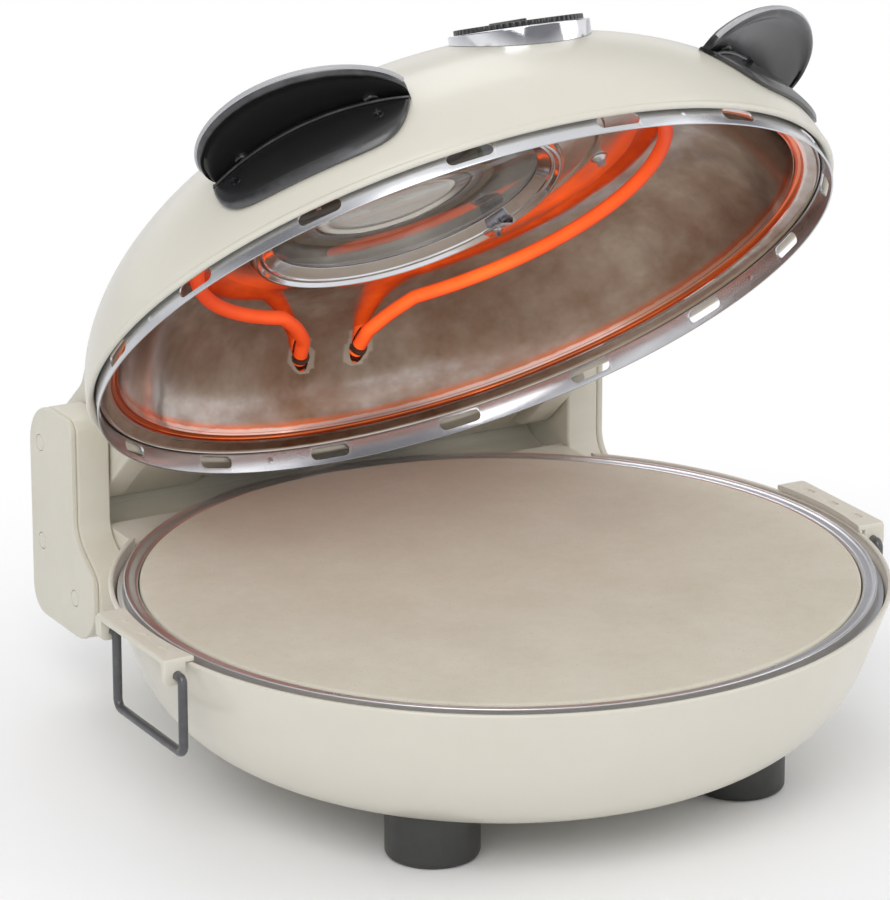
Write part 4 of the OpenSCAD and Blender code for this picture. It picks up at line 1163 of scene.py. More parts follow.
@dataclass
class Rear:
    """The housing behind the bowl, and the hinge brackets with their covers and plugs."""

    inner_x: float = 117.0
    outer_x: float = 133.0
    cover: float = 3.0
    step: float = 0.9
    back: float = 184.5
    front: float = 141.5
    low: float = 36.0
    top: float = 135.0
    jut: float = 20.0
    boot: float = 32.0
    housing_front: float = 96.0
    deck_z: float = 83.5
    wall: float = 2.0
    barrel: float = 27.0
    plug: float = 3.6
    plug_t: float = 1.5
    plug_in: float = 11.0
    pin: float = 4.0
    groove: float = 164.7
    trough_end: float = 168.0
    inlet: tuple[float, float, float] = (7.0, 30.0, 20.0)
    lip_t: float = 1.6
    lip_start: float = -60.0
    lip_end: float = -38.0

    def outline(self) -> list[Point]:
        """A bracket's side view: upright, with a foot that juts out in front."""
        toe, instep = self.front - self.jut, self.low + self.boot
        return rounded([
            (self.front, self.top, 6), (self.back, self.top, 20), (self.back, self.low, 12),
            (toe, self.low, 18), (toe, instep, 9), (self.front, instep + 14, 14),
        ])

    def build(self, bowl: Bowl) -> None:
        """Builds the housing and both brackets.

        Args:
            bowl: The bowl that the housing stands against.
        """
        rear = self.back - self.plug_in
        plugs = [(rear, HINGE_Z + 12), (rear, RIM_Z - 16), (self.front - 1, self.low + 18)]
        face = self.outer_x + self.cover
        bore = Shape().lathe([(0, -20), (self.pin, -20), (self.pin, 20), (0, 20)], 40)
        bore.place(move(self.inner_x, HINGE_Y, HINGE_Z) @ turn("Y", 90))
        body = Shape().slab(self.outline(), self.inner_x, self.outer_x, Way.X, 1.4, 4).carved(bore)
        plate = Shape().slab(self.outline(), self.outer_x, face, Way.X, self.step, 4)
        spots = [move(face - self.plug_t, y, z) @ turn("Y", 90) for y, z in plugs]
        plate = plate.carved(*(disc(self.plug + 0.25, 0, 4).place(spot) for spot in spots))
        high = self.plug_t + 0.2
        profile = [(0, 0, 0), (self.plug, 0, 0), (self.plug, high, 0.5), (0, high, 0)]
        button = Shape().lathe(rounded(profile, closed=False, steps=4), 48)
        buttons = Shape()
        for spot in spots:
            buttons.add(button, spot)
        for side, flip in SIDES:
            place = AT_BASE @ flip
            Fit(
                "hinge_post_" + side, Body.BASE, "cream_part", SATIN, ("bracket_" + side,), place
            ).settle(body)
            Fit(
                "post_cover_" + side, Body.BASE, "cream_part", SATIN, ("bracket_cover_" + side,), place
            ).settle(plate)
            Fit(
                "post_plugs_" + side, Body.BASE, "cream_part", SATIN, ("cover_plugs_" + side,), place
            ).settle(buttons)
        self.housing(bowl)

    def shell(self, inset: float, low: float) -> Shape:
        """The housing's block, or what is hollow in it.

        Args:
            inset: How far its sides and its top are drawn in.
            low: Height of its lower end.

        Returns:
            The block.
        """
        x = self.inner_x - 0.2 - inset
        front, back, top = self.housing_front + inset, self.back - inset, self.deck_z - inset
        outline = [
            (front, low, self.wall), (back, low, self.wall), (back, top, 8 - inset), (front, top, self.wall)
        ]
        return Shape().slab(rounded(outline), -x, x, Way.X)

    def trough(self, grow: float) -> Shape:
        """What the lid's barrel takes up as it turns."""
        side, end = self.barrel + grow, self.trough_end
        bar = Shape().lathe([(0, -end), (side, -end), (side, end), (0, end)], 120)
        return bar.place(move(0, HINGE_Y, HINGE_Z) @ turn("Y", 90))

    def housing(self, bowl: Bowl) -> None:
        """Builds the housing, with the trough that the lid's barrel turns in.

        Args:
            bowl: The bowl that the housing stands against.
        """
        hollow = self.shell(self.wall, self.low - 8).carved(self.trough(self.wall))
        radius, along, up = self.inlet
        inlet = disc(radius, -4, 4, 0, 48)
        inlet.place(move(along - self.inner_x, self.back, self.low + up) @ turn("X", 90))
        hinge, start, end = (HINGE_Y, HINGE_Z), self.lip_start, self.lip_end
        curve = arc(hinge, self.barrel - 0.2, start, end, 12)
        curve += arc(hinge, self.barrel + self.lip_t, end, start, 12)
        lip = Shape().slab(curve, 0.2 - self.inner_x, self.inner_x - 0.2, Way.X)
        case = self.shell(0, self.low).carved(hollow, self.trough(0), self.deck_cut(bowl), inlet)
        case = case.carved(joins=[lip])
        Fit("rear_case", Body.BASE, "cream_part", SATIN, ("rear_housing",), AT_BASE, bevel=0.5).settle(case)

    def deck_cut(self, bowl: Bowl) -> Shape:
        """What the bowl takes up, ending at the groove above the lip's notch."""
        wall, low = bowl.wall(-0.2), bowl.notch[2]
        notch = bowl.lip - (bowl.lip_z - low) * math.tan(math.radians(bowl.lean)) + 0.2
        side = [(0, ABOVE), (self.groove, ABOVE), (self.groove, low), (notch, low)]
        return Shape().lathe([*side, *wall[1:]], 240)


@dataclass
class Bails:
    """The side plates at rim level and the wire bails that hang from them."""

    shift: float = -6.0
    inner: float = 166.0
    outer_x: float = 176.4
    plate_z: float = 86.9
    plate_t: float = 2.5
    near: float = -26.3
    far: float = 39.0
    ear_z: float = 78.0
    ear_x: float = 166.4
    pivot_x: float = 170.4
    pivot_z: float = 82.0
    wire: float = 2.0
    half: float = 31.0
    drop: float = 33.0
    bend: float = 4.0
    stub: float = 9.5
    crook: float = 2.1
    root_x: float = 150.0
    ear_t: tuple[float, float] = (3.0, 5.0)
    dimples: int = 3
    dimple: tuple[float, float, float] = (7.0, 3.4, 19.0)
    dimple_at: tuple[float, float, float] = (6.0, 13.0, 0.8)

    def build(self) -> None:
        """Builds both plates and both bails."""
        plate, bail = self.plate(), self.bail()
        for (side, flip), body in zip(SIDES, (Body.BAIL_RIGHT, Body.BAIL_LEFT)):
            place = AT_BASE @ flip @ move(0, self.shift, 0)
            Fit(
                "side_plate_" + side, Body.BASE, "bail_plate", SATIN, ("bail_plate_" + side,), place,
                bevel=0.3,
            ).settle(plate)
            Fit("wire_" + side, body, "wire", ENAMEL_WIRE, ("bail_" + side,), place).settle(bail)

    def plate(self) -> Shape:
        """One plate with its two ears."""
        near, far = self.near, self.far
        outline = rounded([
            (self.root_x, near, 0), (self.outer_x, near, 1.2), (self.outer_x, far, 2.5), (self.root_x, far, 0)
        ])
        top = Shape().slab(outline, self.plate_z, self.plate_z + self.plate_t, Way.Z, 0.7, 3)
        under, low = self.plate_z + self.plate_t / 2, self.ear_z
        ear = rounded([
            (self.outer_x, under, 0.4), (self.outer_x, low, 3), (self.ear_x, low, 3), (self.ear_x, under, 0.4)
        ])
        spans = ((near, near + self.ear_t[0]), (far - self.ear_t[1], far))
        ears = [Shape().slab(ear, start, end, Way.Y, 0.5, 3) for start, end in spans]
        hole = disc(self.wire + 0.1, -60, 60, 0, 48)
        hole.place(move(self.pivot_x, 0, self.pivot_z) @ turn("X", 90))
        well = Shape().lathe([(0, 60), (self.inner, 60), (self.inner, 120), (0, 120)], 288)
        well.place(move(0, -self.shift, 0))
        length, width, gap = self.dimple
        run = length / 2 - width / 2
        shape = arc((0, run), width / 2, 0, 180, 12) + arc((0, -run), width / 2, 180, 360, 12)
        back, start, deep = self.dimple_at
        dents = []
        for i in range(self.dimples):
            dent = Shape().slab(shape, 0, 3, Way.Z, 0.5, 2)
            spot = move(self.outer_x - back, near + start + i * gap, self.plate_z + self.plate_t - deep)
            dents.append(dent.place(spot))
        return top.carved(hole, well, *dents, joins=ears)

    def bail(self) -> Shape:
        """One wire: both ends turn the same way, into the ears."""
        half, high, low, x = self.half, self.pivot_z, self.pivot_z - self.drop, self.pivot_x
        corners = [
            (-half + self.stub, high, 0), (-half, high, self.crook), (-half, low, self.bend),
            (half, low, self.bend), (half, high, self.crook), (half + self.stub, high, 0),
        ]
        line = rounded(corners, closed=False, steps=9)
        return rod([Vector((x, y, z)) for y, z in line], self.wire, 7)


@dataclass
class Dome:
    """The lid's cream shell with its rolled hem."""

    radius: float = 167.4
    low: float = 8.0
    high: float = 95.0
    skirt: float = 1.7
    crown: float = 2.3
    sheet: float = 1.0
    bead: float = 1.6
    glass: float = 64.0
    window_lean: float = 4.3
    window_sink: float = 3.5
    shaft: float = 4.0
    crowding: float = 1.7
    collar_top: Point = (163.8, 10.0)

    def at(self, height: float, grow: float = 0.0) -> float:
        """The shell's outer radius at a height."""
        share = min(max((height - self.low) / (self.high - self.low), 0.0), 1.0)
        return self.radius * (1 - share ** self.skirt) ** (1 / self.crown) + grow

    def top(self, radius: float) -> float:
        """The shell's height at a distance from its axis."""
        share = (1 - (radius / self.radius) ** self.crown) ** (1 / self.skirt)
        return self.low + (self.high - self.low) * share

    def curve(self, inset: float, steps: int = 64) -> list[Point]:
        """The shell's side from the skirt up to the crown, with points that crowd towards the crown."""
        points = []
        for i in range(steps + 1):
            share = 1 - (1 - i / steps) ** self.crowding
            spread = (1 - share ** self.skirt) ** (1 / self.crown)
            points.append(((self.radius - inset) * spread, self.low + share * (self.high - self.low - inset)))
        return points

    def solid(self, grow: float, low: float = 8.0) -> Shape:
        """The whole lid up to its shell, to cut what is fixed to it."""
        return Shape().lathe([(0, low), (self.radius + grow, low), *self.curve(-grow, 40)], 240)

    def window(self) -> Matrix:
        """Where the outer window lies."""
        return move(0, WINDOW_Y, self.top(WINDOW_Y) - self.window_sink) @ turn("X", -self.window_lean)

    def build(self) -> None:
        """Builds the shell."""
        hem = arc((self.radius - self.bead * 0.6, self.low), self.bead, 60, -150, 16)
        x, z = self.collar_top
        tuck = [(x + 0.2, 8.9), (x, z), (x + 0.5, 11.0)]
        outside = self.curve(0)
        first = next(i for i, (_, height) in enumerate(outside) if height > self.low + self.bead * 0.9)
        profile = outside[first:][::-1] + hem + tuck + self.curve(self.sheet)[first + 2:]
        shell = Shape().lathe(profile, 288)
        window = disc(self.glass, -20, 20, 0, 180).place(self.window())
        shaft = disc(self.shaft, -20, 20, 0, 48).place(Knob().seat())
        shell = shell.carved(window, shaft)
        Fit("lid_shell", Body.LID, "cream", ENAMEL, ("dome",), AT_LID, bevel=0.25).settle(shell)


@dataclass
class Underside:
    """The slotted collar, the reflector and the upper heating element."""

    collar: float = 165.2
    collar_top: float = 163.4
    collar_h: float = 10.0
    collar_t: float = 0.9
    slots: int = 16
    slot: tuple[float, float] = (19.5, 5.4)
    rivet: float = 1.5
    sheet: float = 0.8
    edge: float = 153.3
    crown: float = 97.0
    top: float = 58.5
    loop: float = 106.0
    loop_h: float = 48.5
    gap: float = 36.0
    tube: float = 3.2
    wall: tuple[float, float, float] = (15.2, 130.0, 42.0)
    out: tuple[float, float, float] = (-1.0, 6.5, -1.6)
    knee: tuple[float, float, float] = (22.5, 4.0, 2.4)
    leg_hole: float = 4.1
    window: float = 66.2
    screw: tuple[float, float, float] = (3.6, 2.3, 1.9)
    screw_hole: float = 2.2
    screws: tuple[Point, ...] = ((85.5, -3.5), (-85.5, -3.5), (38, -82), (-38, -82))

    def build(self) -> None:
        """Builds the collar, the reflector, the element and their fixings."""
        self.build_collar()
        self.build_reflector()
        tube = rod(self.element(), self.tube, 8)
        Fit("upper_tube", Body.LID, "element", GLOW, ("upper_element",), AT_LID).settle(tube)
        self.build_insulators()
        heads = Shape()
        head = bolt_head(*self.screw)
        for x, y in self.screws:
            heads.add(head, move(x, y, self.top) @ turn("X", 180) @ turn("Z", 30 + x))
        Fit("reflector_bolts", Body.LID, "steel", SCREW_STEEL, ("reflector_screws",), AT_LID).settle(heads)

    def build_collar(self) -> None:
        """The tapered collar with its slots, and its rivets."""
        outer = [(self.collar, 0, 0.3), (self.collar_top, self.collar_h, 0.3)]
        inner = [(self.collar_top - self.collar_t, self.collar_h, 0.3), (self.collar - self.collar_t, 0, 0.3)]
        band = Shape().lathe(rounded(outer + inner, steps=3), 320)
        length, width = self.slot
        run = (length - width) / 2
        outline = arc((run, 0), width / 2, -90, 90, 12) + arc((-run, 0), width / 2, 90, 270, 12)
        cutters = Shape()
        one = Shape().slab(outline, self.collar - 6, self.collar + 6, Way.X)
        one.place(move(0, 0, self.collar_h / 2))
        for i in range(self.slots):
            cutters.add(one, turn("Z", 360 * i / self.slots))
        band = band.carved(cutters)
        Fit("slotted_collar", Body.LID, "rim", COLLAR, ("collar",), AT_LID, bevel=0.22).settle(band)
        rivets = Shape()
        middle = (self.collar + self.collar_top) / 2
        nail = Shape().lathe([
            (0, -0.3), (0.9, -0.27), (self.rivet, -0.1), (self.rivet, 0.95), (1.2, 1.1), (0.7, 1.18), (0, 1.2)
        ], 32)
        for i in range(4):
            angle = (i * self.slots / 4 + 0.5) * 360 / self.slots
            spot = turn("Z", angle) @ move(middle - self.collar_t - 0.1, 0, self.collar_h / 2)
            rivets.add(nail, spot @ turn("Y", 90))
        Fit("collar_nails", Body.LID, "steel", COLLAR, ("collar_rivets",), AT_LID).settle(rivets)

    def build_reflector(self) -> None:
        """The spun reflector: flange, rolled bead, curved wall and flat top."""
        low, high = self.top - 3, self.top + 5
        flange = [(161.5, 8.5), (161.1, 9.5), (160.3, 10.1), (158.6, 11.0), (156.9, 11.9)]
        bead = arc((154.1, 12.5), 1.8, -20, 160, 14)
        wall = bezier((151.7, 14.9), (136.0, 50.5), (self.crown, self.top), 44)
        flat = [
            (82.0, self.top), (81.0, self.top - 0.9), (78.6, self.top - 0.9), (77.6, self.top), (0, self.top)
        ]
        shell = Shape().lathe(sheet([*flange, *bead, *wall, *flat], -self.sheet), 288)
        opening = disc(self.window, low, high, 0, 180).place(move(0, WINDOW_Y, 0))
        holes = [disc(self.screw_hole, low, high, 0, 24).place(move(x, y, 0)) for x, y in self.screws]
        ways = [self.leg_way(side, disc(self.leg_hole, -9, 9, 0, 48)) for side in (1, -1)]
        shell = shell.carved(opening, *holes, *ways)
        Fit(
            "reflector_shell", Body.LID, "reflector", MIRROR_STEEL, ("reflector",), AT_LID, bevel=0.15
        ).settle(shell)

    def leg_way(self, side: int, shape: Shape) -> Shape:
        """Puts a shape on the line of a leg where it goes through the reflector's wall.

        Args:
            side: 1 for the right leg and -1 for the left one.
            shape: The shape, with the leg along its Z axis.

        Returns:
            The same shape in its place.
        """
        out = self.leg_run()
        spin = Vector((0, 0, 1)).rotation_difference(out).to_matrix().to_4x4()
        flip = MIRROR if side < 0 else Matrix.Identity(4)
        return shape.place(flip @ move(*self.wall) @ spin)

    def leg_run(self) -> Vector:
        """The way in which a leg leaves the reflector."""
        return Vector(self.out).normalized()

    def element(self) -> list[Vector]:
        """The upper element's middle line."""
        opened = math.asin(self.gap / self.loop)
        reach = self.loop * math.cos(opened)
        start = Vector((self.gap - 3, reach + 1.6, self.loop_h))
        knee_x, back, drop = self.knee
        bend = Vector((knee_x, (reach + self.wall[1]) / 2 - back, self.loop_h - drop))
        wall, out = Vector(self.wall), self.leg_run()
        first = start + 0.55 * (bend - start)
        curve = bezier(tuple(first), tuple(bend), tuple(wall - 9 * out), 14)
        leg = [start, *(Vector(point) for point in curve), wall - 5 * out, wall + 6 * out]
        degrees = math.degrees(opened)
        ring = arc((0, 0), self.loop, 90 + degrees, 450 - degrees, 160)
        loop = [Vector((x, y, self.loop_h)) for x, y in ring]
        return [Vector((-p.x, p.y, p.z)) for p in leg[::-1]] + loop + leg

    def build_insulators(self) -> None:
        """The ceramic bushes of the element's legs."""
        bushes = Shape()
        profile = rounded([
            (3.3, 1.0, 0), (4.0, 1.0, 0.2), (4.0, 2.0, 0), (4.3, 2.4, 0), (4.3, 3.8, 0.4), (3.3, 3.8, 0)
        ], steps=3)
        for side in (1, -1):
            bushes.add(self.leg_way(side, Shape().lathe(profile, 48)))
        Fit("leg_bushes", Body.LID, "ceramic", SOOTED, ("upper_terminals",), AT_LID).settle(bushes)


@dataclass
class Window:
    """The lid's window: inner and outer glass, their steel rings and the spring clips."""

    glass: float = 64.0
    top: float = 58.5
    clip_at: float = 28.0
    clip_l: float = 14.0
    clip_screw: tuple[float, float, float] = (2.2, 1.2, 1.3)

    def build(self, dome: Dome) -> None:
        """Builds the window's pieces."""
        self.build_inner()
        self.build_outer(dome)

    def build_inner(self) -> None:
        """The ring, the glass and the clips in the reflector, from the glass's radius and height."""
        g, h = self.glass, self.top
        around = AT_LID @ move(0, WINDOW_Y, 0)
        ring = Shape().lathe(rounded([
            (g - 3, h + 2.4, 0.3), (g + 0.5, h + 0.2, 1.2), (g + 1.8, h - 0.6, 0.4), (g + 2.2, h - 1.4, 0.3),
            (g + 3.8, h - 1.2, 0.6), (g + 5, h - 3.2, 0.5), (g + 6.4, h - 3.2, 0.6), (g + 8, h - 0.8, 0.4),
            (g + 8, h - 0.2, 0), (g + 2, h - 0.2, 0), (g + 2, h + 3.2, 0.2), (g - 3, h + 3.2, 0.2),
        ], steps=4), 240)
        Fit("window_frame", Body.LID, "trim", TRIM_CHROME, ("window_ring",), around).settle(ring)
        pane = disc(g + 1, h + 3.2, h + 7.2, 0.5, 180)
        Fit("inner_pane", Body.LID, "glass", GLASS, ("inner_glass",), around).settle(pane)
        clips = Shape()
        for i in range(2):
            spot = turn("Z", self.clip_at + 180 * i)
            half = self.clip_l / 2
            leaf = rounded([
                (g - 4, -half + 2, 2), (g + 5, -half, 1.6), (g + 5, half, 1.6), (g - 4, half - 2, 2)
            ])
            clips.add(Shape().slab(leaf, h - 3.9, h - 3.2, Way.Z, 0.15, 2), spot)
            clips.add(bolt_head(*self.clip_screw), spot @ move(g + 1, 0, h - 3.7) @ turn("X", 180))
        Fit("pane_clips", Body.LID, "steel", SCREW_STEEL, ("window_clips",), around).settle(clips)

    def build_outer(self, dome: Dome) -> None:
        """The trim ring and the glass in the dome, from the glass's radius.

        Args:
            dome: The shell that the ring lies on.
        """
        g = self.glass
        seat = AT_LID @ dome.window()
        rim = g + 4
        slope = math.tan(math.radians(dome.window_lean))
        fall = dome.top(WINDOW_Y + rim + 3) - dome.top(WINDOW_Y)
        drop = fall + dome.window_sink + (rim + 3) * slope
        trim = Shape().lathe(rounded([
            (g - 0.2, -4.2, 0.2), (g - 0.2, 0.4, 0.3), (rim + 3, drop, 0), (rim + 2.4, 1.2, 0.8),
            (rim - 1, 2.8, 1.4), (g - 1, 2.8, 0.8), (g - 2.5, 1.6, 0.6), (g - 2.5, 0, 0.2),
            (g - 3, -4.2, 0.2),
        ], steps=4), 240)
        cut = dome.solid(0.1, -1).carved(disc(g, -60, 60, 0, 180).place(dome.window()))
        trim = trim.carved(cut.place(dome.window().inverted()))
        Fit("crown_frame", Body.LID, "trim", TRIM_CHROME, ("outer_ring",), seat).settle(trim)
        pane = Shape().lathe([
            (0, -4), (g - 3.4, -4), (g - 3.2, -3.6), (g - 3.2, 0.9), (g - 3.8, 1.4), (g * 0.5, 1.4), (0, 1.4)
        ], 180)
        Fit("crown_pane", Body.LID, "glass", GLASS, ("outer_glass",), seat).settle(pane)


@dataclass
class Knob:
    """The control knob in its chrome bezel."""

    at_y: float = 116.0
    lean: float = 24.0
    bezel: float = 29.5
    bezel_h: float = 2.6
    dial: float = 27.0
    dial_low: float = 1.1
    dial_top: float = 4.8
    ribs: int = 60
    rib: float = 0.5
    bore: float = 4.0
    sunk: float = -12.0
    shaft: tuple[float, float] = (3.0, -7.5)
    dish: tuple[float, float, float] = (21.5, 22.4, 0.7)
    bar: tuple[float, float, float] = (1.4, -6.0, 23.0)
    bar_h: float = 1.2

    def seat(self) -> Matrix:
        """Where the knob stands on the lid."""
        return move(0, -self.at_y, Dome().top(self.at_y)) @ turn("X", self.lean)

    def build(self, dome: Dome) -> None:
        """Builds bezel and dial.

        Args:
            dome: The shell that the bezel stands on.
        """
        seat = self.seat()
        well, floor = self.dial + 0.6, self.dial_low - 0.2
        bezel = Shape().lathe(rounded([
            (self.bore, self.sunk, 0), (self.bezel, self.sunk, 0), (self.bezel, self.bezel_h, 0.7),
            (well, self.bezel_h, 0.4), (well, floor, 0), (self.bore, floor, 0),
        ], steps=5), 200)
        bezel = bezel.carved(dome.solid(0.2, -1).place(seat.inverted()))
        Fit("dial_bezel", Body.LID, "trim", KNOB_CHROME, ("knob_bezel",), AT_LID @ seat).settle(bezel)
        top = self.dial_top
        disk = Shape().slab(self.outline(), self.dial_low, top, Way.Z, 0.35, 3)
        inner, outer, deep = self.dish
        dish = [(0, top - deep, 0), (inner, top - deep, 0.6), (outer, top + 0.5, 0), (0, top + 0.5, 0)]
        hollow = Shape().lathe(rounded(dish, closed=False, steps=3), 120)
        half, near, far = self.bar
        bar = rounded([(-half, near, 1.3), (half, near, 1.3), (half, far, 0.8), (-half, far, 0.8)])
        grip = Shape().slab(bar, top - self.bar_h, top + self.bar_h, Way.Z, 0.5, 3)
        radius, end = self.shaft
        shaft = disc(radius, end, self.dial_low + 1, 0.3, 40)
        disk = disk.carved(hollow).carved(joins=[grip, shaft])
        Fit("dial_disk", Body.KNOB, "black", PHENOLIC, ("knob_dial",), AT_LID @ seat).settle(disk)

    def outline(self) -> list[Point]:
        """The dial's ribbed edge."""
        steps = self.ribs * 8
        points = []
        for i in range(steps):
            angle = math.tau * i / steps
            wave = abs(math.sin(angle * self.ribs / 2))
            radius = self.dial - self.rib * (1 - wave ** 0.7)
            points.append((radius * math.cos(angle), radius * math.sin(angle)))
        return points


@dataclass
class Handles:
    """The two black lid handles: a flange that lies on the dome, and a half-moon blade."""

    bearing: float = 44.2
    half_angle: float = 16.8
    low: float = 20.0
    corner: float = 20.0
    ridge: float = 52.0
    ridge_fall: float = 7.0
    blade: float = 30.8
    blade_power: float = 0.53
    skew: float = 0.18
    lean: float = 14.0
    thick: float = 2.6
    rim: float = 2.7
    rib: float = 1.0
    # Radius of the rod that paints a highlight along the blade's edge.
    trim: float = 1.3
    flange: float = 3.6
    boss: float = 3.3
    boss_at: float = 0.66
    boss_out: float = 4.6
    root: float = 1.8
    gap: float = 0.2
    stub: float = 1.6
    full: float = 9.0
    dish: float = 1.1
    swell: float = 1.2
    screw: tuple[float, float, float] = (2.6, 0.9, 1.5)
    screw_z: float = 34.0
    screw_out: float = 3.3
    screw_at: float = 11.56
    screw_lean: float = 72.0
    sections: int = 56

    def reach(self, u: float) -> float:
        """How far the blade stands out at a share across the handle."""
        return self.blade * max(1 - u * u, 0.0) ** self.blade_power * (1 + self.skew * u) + self.stub

    def crest(self, u: float) -> float:
        """Height of the flange's upper edge at a share across the handle."""
        return self.ridge - self.ridge_fall * u * u

    def bearing_at(self, u: float) -> float:
        """The way from the lid's axis at a share across the handle, in degrees."""
        return self.bearing - 90 + self.half_angle * u

    def bead(self, thin: float) -> float:
        """Radius of the blade's outer bead, which dwindles where the blade runs out."""
        return self.rim * (0.55 + 0.45 * thin)

    def edge(self, dome: Dome, u: float) -> Vector:
        """A point of the painted highlight line along the blade's outer edge.

        Args:
            dome: The shell that the handle lies on.
            u: Share across the handle, from -1 to 1.

        Returns:
            The point, in the lid's frame.
        """
        top = self.crest(u) - self.root
        lean = math.radians(self.lean)
        reach = self.reach(u)
        along = lean + math.radians(8)
        out = self.bead(min(1.0, reach / self.full)) - self.trim * 0.72
        r = dome.at(top, self.gap) + reach * math.cos(lean) + out * math.cos(along)
        h = top + reach * math.sin(lean) + out * math.sin(along)
        angle = math.radians(self.bearing_at(u))
        return Vector((r * math.cos(angle), r * math.sin(angle), h))

    def section(self, dome: Dome, u: float) -> list[Vector]:
        """One cross-section of a handle.

        Args:
            dome: The shell that the handle lies on.
            u: Share across the handle, from -1 to 1.

        Returns:
            The section's closed loop, in the lid's frame.
        """
        top = self.crest(u)
        low = min(self.low + self.corner * abs(u) ** 7, top - 3)
        lean = math.radians(self.lean)
        reach = self.reach(u)
        heights = [low + (top - low) * i / 9 for i in range(10)]
        loop = [(dome.at(h, self.gap), h) for h in heights]
        root = Vector((dome.at(top - self.root, self.gap), top - self.root))
        along = Vector((math.cos(lean), math.sin(lean)))
        up = Vector((-along.y, along.x))
        thin = min(1.0, reach / self.full)

        def blade_at(share: float, side: float) -> Point:
            """A point of the blade at a share of its reach, on one of its two sides."""
            dish = -self.dish * math.sin(math.pi * share) * thin
            swell = (1 - share) ** 3 * self.swell * side
            spot = root + along * (share * reach) + up * (side + dish + swell)
            return (spot.x, spot.y)

        half = self.thick / 2
        loop += [blade_at(0.10 + 0.80 * i / 8, half) for i in range(9)]
        tip = root + along * reach
        rim = self.bead(thin)
        for i in range(7):
            angle = lean + math.radians(118 - 236 * i / 6)
            loop.append((tip.x + rim * math.cos(angle), tip.y + rim * math.sin(angle)))
        loop += [blade_at(0.90 - 0.72 * i / 8, -half) for i in range(9)]
        below = top - 7.5
        crease = Vector(loop[-1]).lerp(Vector((dome.at(below, self.flange), below)), 0.5)
        loop += arc((crease.x, crease.y), self.rib, 30, -80, 4)
        under = [low + max(top - 8 - low, 0.9) * (1 - i / 9) for i in range(10)]
        fade = [1 - 0.45 * max(0, 1 - (h - low) / 2.5) ** 2 for h in under]
        loop += [(dome.at(h, self.flange * share), h) for h, share in zip(under, fade)]
        angle = math.radians(self.bearing_at(u))
        return [Vector((r * math.cos(angle), r * math.sin(angle), h)) for r, h in loop]

    def build(self, dome: Dome) -> None:
        """Builds both handles, their screws and the painted highlight lines along their blades' edges.

        Args:
            dome: The shell that the handles lie on.
        """
        shares = [math.sin(math.pi / 2 * (2 * i / self.sections - 1)) for i in range(self.sections + 1)]
        leaf = Shape().loft([self.section(dome, u) for u in shares]).carved(joins=self.bosses(dome))
        line = rod([self.edge(dome, 0.97 * u) for u in shares], self.trim)
        heads = Shape()
        for side in (-1, 1):
            way = turn("Z", self.bearing - 90 + side * self.screw_at)
            spot = way @ move(dome.at(self.screw_z, self.screw_out), 0, self.screw_z)
            heads.add(bolt_head(*self.screw), spot @ turn("Y", self.screw_lean))
        for side, flip in SIDES:
            place = AT_LID @ flip
            Fit(
                "grip_" + side, Body.LID, "black", PHENOLIC, ("handle_" + side,), place, crease=50
            ).settle(leaf)
            Fit(
                "grip_bolts_" + side, Body.LID, "steel", BLACK_STEEL, ("handle_screws_" + side,), place
            ).settle(heads)
            # A painted highlight: a light-grey rod along the blade's rim.
            Fit("grip_highlight_rod_" + side, Body.LID, "black", GRIP_HIGHLIGHT, (), place).settle(line)

    def bosses(self, dome: Dome) -> list[Shape]:
        """The two round bosses under a blade's root, each with a blind bore.

        Args:
            dome: The shell that the handle lies on.

        Returns:
            The bosses, in the lid's frame.
        """
        bore, bore_end, end, high = 1.5, -3.4, -5.2, -0.4
        profile = rounded([
            (0, bore_end, 0), (bore, bore_end, 0.2), (bore, end, 0.3), (self.boss, end, 0.8),
            (self.boss, high, 0), (0, high, 0),
        ], closed=False, steps=4)
        made = []
        for share in (-self.boss_at, self.boss_at):
            top = self.crest(share) - self.root
            spot = turn("Z", self.bearing_at(share)) @ move(dome.at(top, self.boss_out), 0, top + self.root)
            made.append(Shape().lathe(profile, 40).place(spot @ turn("Y", -self.lean)))
        return made


